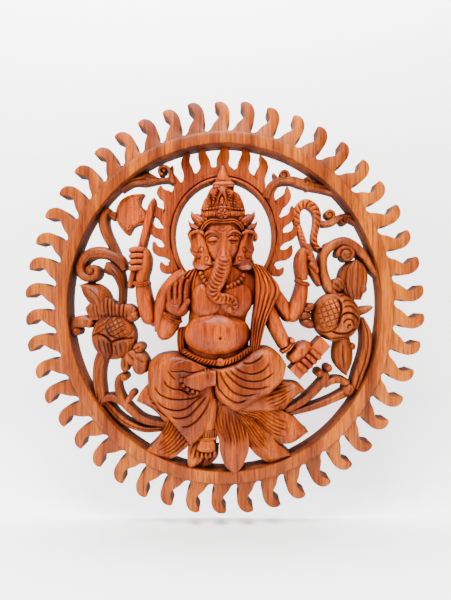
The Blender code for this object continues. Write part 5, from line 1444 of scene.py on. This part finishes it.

# %% [markdown]
# ## Oiled hardwood
# One board, so the grain runs upright through everything. Fine dark pores lie along it, and broad bands
# of lighter and darker wood run across it. Deep cuts and hollows are given painted shade, darkened by
# ambient occlusion, and faces that turn sideways from the front are given painted shade as well and
# are made duller. The finish is a thin satin oil.

# %% The wood
def wood(name, deep, middle, light, rough):
    material = bpy.data.materials.new(name)
    material.use_nodes = True
    nodes, links = material.node_tree.nodes, material.node_tree.links
    shader = nodes["Principled BSDF"]
    place = nodes.new("ShaderNodeTexCoord")

    def mapping(scale):
        node = nodes.new("ShaderNodeMapping")
        node.inputs["Scale"].default_value = scale
        links.new(place.outputs["Object"], node.inputs["Vector"])
        return node.outputs["Vector"]

    def noise(detail, space, roughness=0.55, distortion=0.0):
        node = nodes.new("ShaderNodeTexNoise")
        node.inputs["Scale"].default_value = 1.0
        node.inputs["Detail"].default_value = detail
        node.inputs["Roughness"].default_value = roughness
        node.inputs["Distortion"].default_value = distortion
        links.new(space, node.inputs["Vector"])
        return node.outputs["Fac"]

    def ramp(factor, stops):
        node = nodes.new("ShaderNodeValToRGB")
        elements = node.color_ramp.elements
        while len(elements) < len(stops):
            elements.new(0.5)
        for element, (spot, colour) in zip(elements, stops):
            element.position = spot
            element.color = (*colour, 1)
        links.new(factor, node.inputs["Fac"])
        return node.outputs["Color"]

    def mixed(kind, share, a, b):
        node = nodes.new("ShaderNodeMix")
        node.data_type = "RGBA"
        node.blend_type = kind
        for socket, value in ((node.inputs["Factor"], share), (node.inputs["A"], a),
                              (node.inputs["B"], b)):
            if isinstance(value, bpy.types.NodeSocket):
                links.new(value, socket)
            else:
                socket.default_value = value if isinstance(value, float) else (*value, 1)
        return node.outputs["Result"]

    broad = noise(3, mapping((38, 38, 3.2)), 0.55, 0.4)
    streaks = noise(5, mapping((420, 350, 24)), 0.62, 0.3)
    pores = noise(2, mapping((1100, 900, 75)), 0.5)
    colour = ramp(broad, [(0.35, deep), (0.5, middle), (0.65, light)])
    grain = ramp(streaks, [(0.32, (0.42, 0.34, 0.28)), (0.52, (1, 1, 1)), (0.7, (1.35, 1.4, 1.3))])
    colour = mixed("MULTIPLY", 0.95, colour, grain)
    colour = mixed("MULTIPLY", 0.85, colour, ramp(pores, [(0.3, (0.4, 0.32, 0.26)), (0.44, (1, 1, 1))]))
    # Painted shade: cuts and hollows are darkened in the colour by how much ambient occlusion finds nearby.
    hollow = nodes.new("ShaderNodeAmbientOcclusion")
    hollow.samples = 8
    hollow.inputs["Distance"].default_value = 0.006
    shade = ramp(hollow.outputs["AO"], [(0.3, (0.08, 0.045, 0.04)), (0.62, (0.45, 0.34, 0.30)),
                                        (0.9, (1, 1, 1))])
    colour = mixed("MULTIPLY", 0.95, colour, shade)
    # Painted shade: faces that turn sideways from the front are darkened towards (0.30, 0.22, 0.18); the
    # same factor also makes them duller.
    facing = nodes.new("ShaderNodeSeparateXYZ")
    links.new(place.outputs["Normal"], facing.inputs["Vector"])
    to_front = nodes.new("ShaderNodeMath")
    to_front.operation = "ABSOLUTE"
    links.new(facing.outputs["Y"], to_front.inputs[0])
    side_shade_and_dullness = nodes.new("ShaderNodeMapRange")
    for socket, value in (("From Min", 0.08), ("From Max", 0.5), ("To Min", 1.0), ("To Max", 0.0)):
        side_shade_and_dullness.inputs[socket].default_value = value
    links.new(to_front.outputs["Value"], side_shade_and_dullness.inputs["Value"])
    colour = mixed("MULTIPLY", side_shade_and_dullness.outputs["Result"], colour, (0.30, 0.22, 0.18))
    links.new(colour, shader.inputs["Base Color"])

    gloss = nodes.new("ShaderNodeMapRange")
    gloss.inputs["To Min"].default_value = rough - 0.06
    gloss.inputs["To Max"].default_value = rough + 0.12
    links.new(noise(3, mapping((90, 90, 12))), gloss.inputs["Value"])
    dull = nodes.new("ShaderNodeMath")
    dull.operation = "MULTIPLY_ADD"
    dull.use_clamp = True
    dull.inputs[1].default_value = 0.45
    links.new(side_shade_and_dullness.outputs["Result"], dull.inputs[0])
    links.new(gloss.outputs["Result"], dull.inputs[2])
    links.new(dull.outputs["Value"], shader.inputs["Roughness"])

    bump = nodes.new("ShaderNodeBump")
    bump.inputs["Strength"].default_value = 0.22
    bump.inputs["Distance"].default_value = 0.0005
    links.new(streaks, bump.inputs["Height"])
    fine = nodes.new("ShaderNodeBump")
    fine.inputs["Strength"].default_value = 0.16
    fine.inputs["Distance"].default_value = 0.0003
    links.new(pores, fine.inputs["Height"])
    links.new(bump.outputs["Normal"], fine.inputs["Normal"])
    tool = nodes.new("ShaderNodeBump")
    tool.inputs["Strength"].default_value = 0.2
    tool.inputs["Distance"].default_value = 0.0012
    links.new(noise(2, mapping((150, 150, 110))), tool.inputs["Height"])
    links.new(fine.outputs["Normal"], tool.inputs["Normal"])
    links.new(tool.outputs["Normal"], shader.inputs["Normal"])
    shader.inputs["IOR"].default_value = 1.34
    shader.inputs["Specular IOR Level"].default_value = 0.24
    shader.inputs["Coat Weight"].default_value = 0.03
    shader.inputs["Coat Roughness"].default_value = 0.28
    return material


WOODS = {
    "ring": wood("ring_wood", (0.11, 0.0165, 0.001), (0.22, 0.039, 0.0015), (0.37, 0.082, 0.002), 0.40),
    "lotus": wood("lotus_wood", (0.12, 0.016, 0.001), (0.24, 0.037, 0.001), (0.37, 0.070, 0.002), 0.38),
    "figure": wood("figure_wood", (0.17, 0.020, 0.001), (0.30, 0.042, 0.002), (0.42, 0.069, 0.003), 0.36),
    "halo": wood("halo_wood", (0.12, 0.014, 0.001), (0.22, 0.031, 0.002), (0.31, 0.050, 0.003), 0.42),
    "flower": wood("flower_wood", (0.09, 0.013, 0.001), (0.18, 0.030, 0.002), (0.29, 0.055, 0.004), 0.42),
}
TINTS = {"ring_and_rays": "ring", "lotus": "lotus", "legs": "lotus", "halo": "halo",
         "head_and_crown": "figure", "torso": "figure", "arms": "figure",
         "left_flower": "flower", "right_flower": "flower", "small_scrolls": "flower"}
for piece in PIECES:
    piece.data.materials.clear()
    piece.data.materials.append(WOODS[TINTS[piece.name]])
    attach(piece, "root")
    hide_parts("carved_panel")
triangles = sum(len(face.vertices) - 2 for piece in PIECES for face in piece.data.polygons)
print(len(PIECES), "pieces,", triangles, "triangles")

# %% [markdown]
# ## Studio
# The panel hangs a hand's breadth in front of a pale sweep of paper, as for a shop's picture. The
# paper is one sheet that bends from floor to wall. Seen from behind it is clear, so that the panel's
# back can be looked at as well.

# %% Paper sweep
FLOOR_LEVEL = -0.392
BACKDROP = 0.13
SWEEP = 0.09
turns = np.linspace(0, math.pi / 2, 9)
profile = [(-1.6, FLOOR_LEVEL), *[(BACKDROP - SWEEP + SWEEP * math.sin(a),
                                   FLOOR_LEVEL + SWEEP - SWEEP * math.cos(a)) for a in turns],
           (BACKDROP, 0.9)]
points = [(x, y, z) for x in (-3.0, 3.0) for y, z in profile]
count = len(profile)
mesh = bpy.data.meshes.new("paper_sweep")
mesh.from_pydata(points, [], [(k, k + count, k + count + 1, k + 1) for k in range(count - 1)])
sweep = bpy.data.objects.new("paper_sweep", mesh)
bpy.context.scene.collection.objects.link(sweep)
for face in mesh.polygons:
    face.use_smooth = True
paper = bpy.data.materials.new("pale_paper")
paper.use_nodes = True
nodes, links = paper.node_tree.nodes, paper.node_tree.links
nodes["Principled BSDF"].inputs["Base Color"].default_value = (0.96, 0.97, 0.97, 1)
nodes["Principled BSDF"].inputs["Roughness"].default_value = 0.9
side = nodes.new("ShaderNodeNewGeometry")
clear = nodes.new("ShaderNodeBsdfTransparent")
mix = nodes.new("ShaderNodeMixShader")
links.new(side.outputs["Backfacing"], mix.inputs["Fac"])
links.new(nodes["Principled BSDF"].outputs["BSDF"], mix.inputs[1])
links.new(clear.outputs["BSDF"], mix.inputs[2])
links.new(mix.outputs["Shader"], nodes["Material Output"].inputs["Surface"])
mesh.materials.append(paper)
print("paper faces up", mesh.polygons[0].normal[:])

# %% [markdown]
# ## Lights and camera
# The main light stands high and close, so that it rakes down over the relief and leaves the undersides
# dark. It is kept out of the wood's mirror direction. Two weak ones soften the sides, and a narrow one
# behind the panel washes the paper. The lens is wide and near, as in the photo.

# %% Lights and camera
def softbox(name, place, aim, size, power, colour):
    light = bpy.data.lights.new(name, "AREA")
    light.shape = "RECTANGLE"
    light.size, light.size_y = size
    light.energy = power
    light.color = colour
    box = bpy.data.objects.new(name, light)
    box.location = place
    box.rotation_euler = (Vector(aim) - Vector(place)).to_track_quat("-Z", "Y").to_euler()
    bpy.context.scene.collection.objects.link(box)


middle = (0.0, 0.0, -HANG_DROP * MM)
softbox("high_softbox", (-0.08, -0.44, 0.64), middle, (0.7, 0.4), 35, (1.0, 0.99, 0.97))
softbox("left_softbox", (-1.0, -0.75, 0.0), middle, (0.4, 0.8), 11, (0.98, 0.99, 1.0))
softbox("right_softbox", (1.0, -0.75, 0.05), middle, (0.4, 0.8), 4, (1.0, 0.98, 0.95))
softbox("paper_softbox", (0.0, 0.06, 0.5), (0.0, 0.13, -0.1), (1.4, 0.1), 22, (0.97, 0.99, 1.0))
world = bpy.data.worlds.new("studio")
world.use_nodes = True
world.node_tree.nodes["Background"].inputs["Color"].default_value = (0.93, 0.97, 1.0, 1)
world.node_tree.nodes["Background"].inputs["Strength"].default_value = 0.35
bpy.context.scene.world = world

EYE_PLACE = (0.001, -SIGHT_LEVEL * MM - SIGHT_DISTANCE * MM, 0.0076 - HANG_DROP * MM)
SENSOR_HEIGHT, LENS = 24, 19.2
eye = bpy.data.cameras.new("photo_camera")
eye.sensor_fit = "VERTICAL"
eye.sensor_height = SENSOR_HEIGHT
eye.lens = LENS
camera = bpy.data.objects.new("photo_camera", eye)
camera.location = EYE_PLACE
camera.rotation_euler = (math.pi / 2, 0, 0)
bpy.context.scene.collection.objects.link(camera)
bpy.context.scene.camera = camera
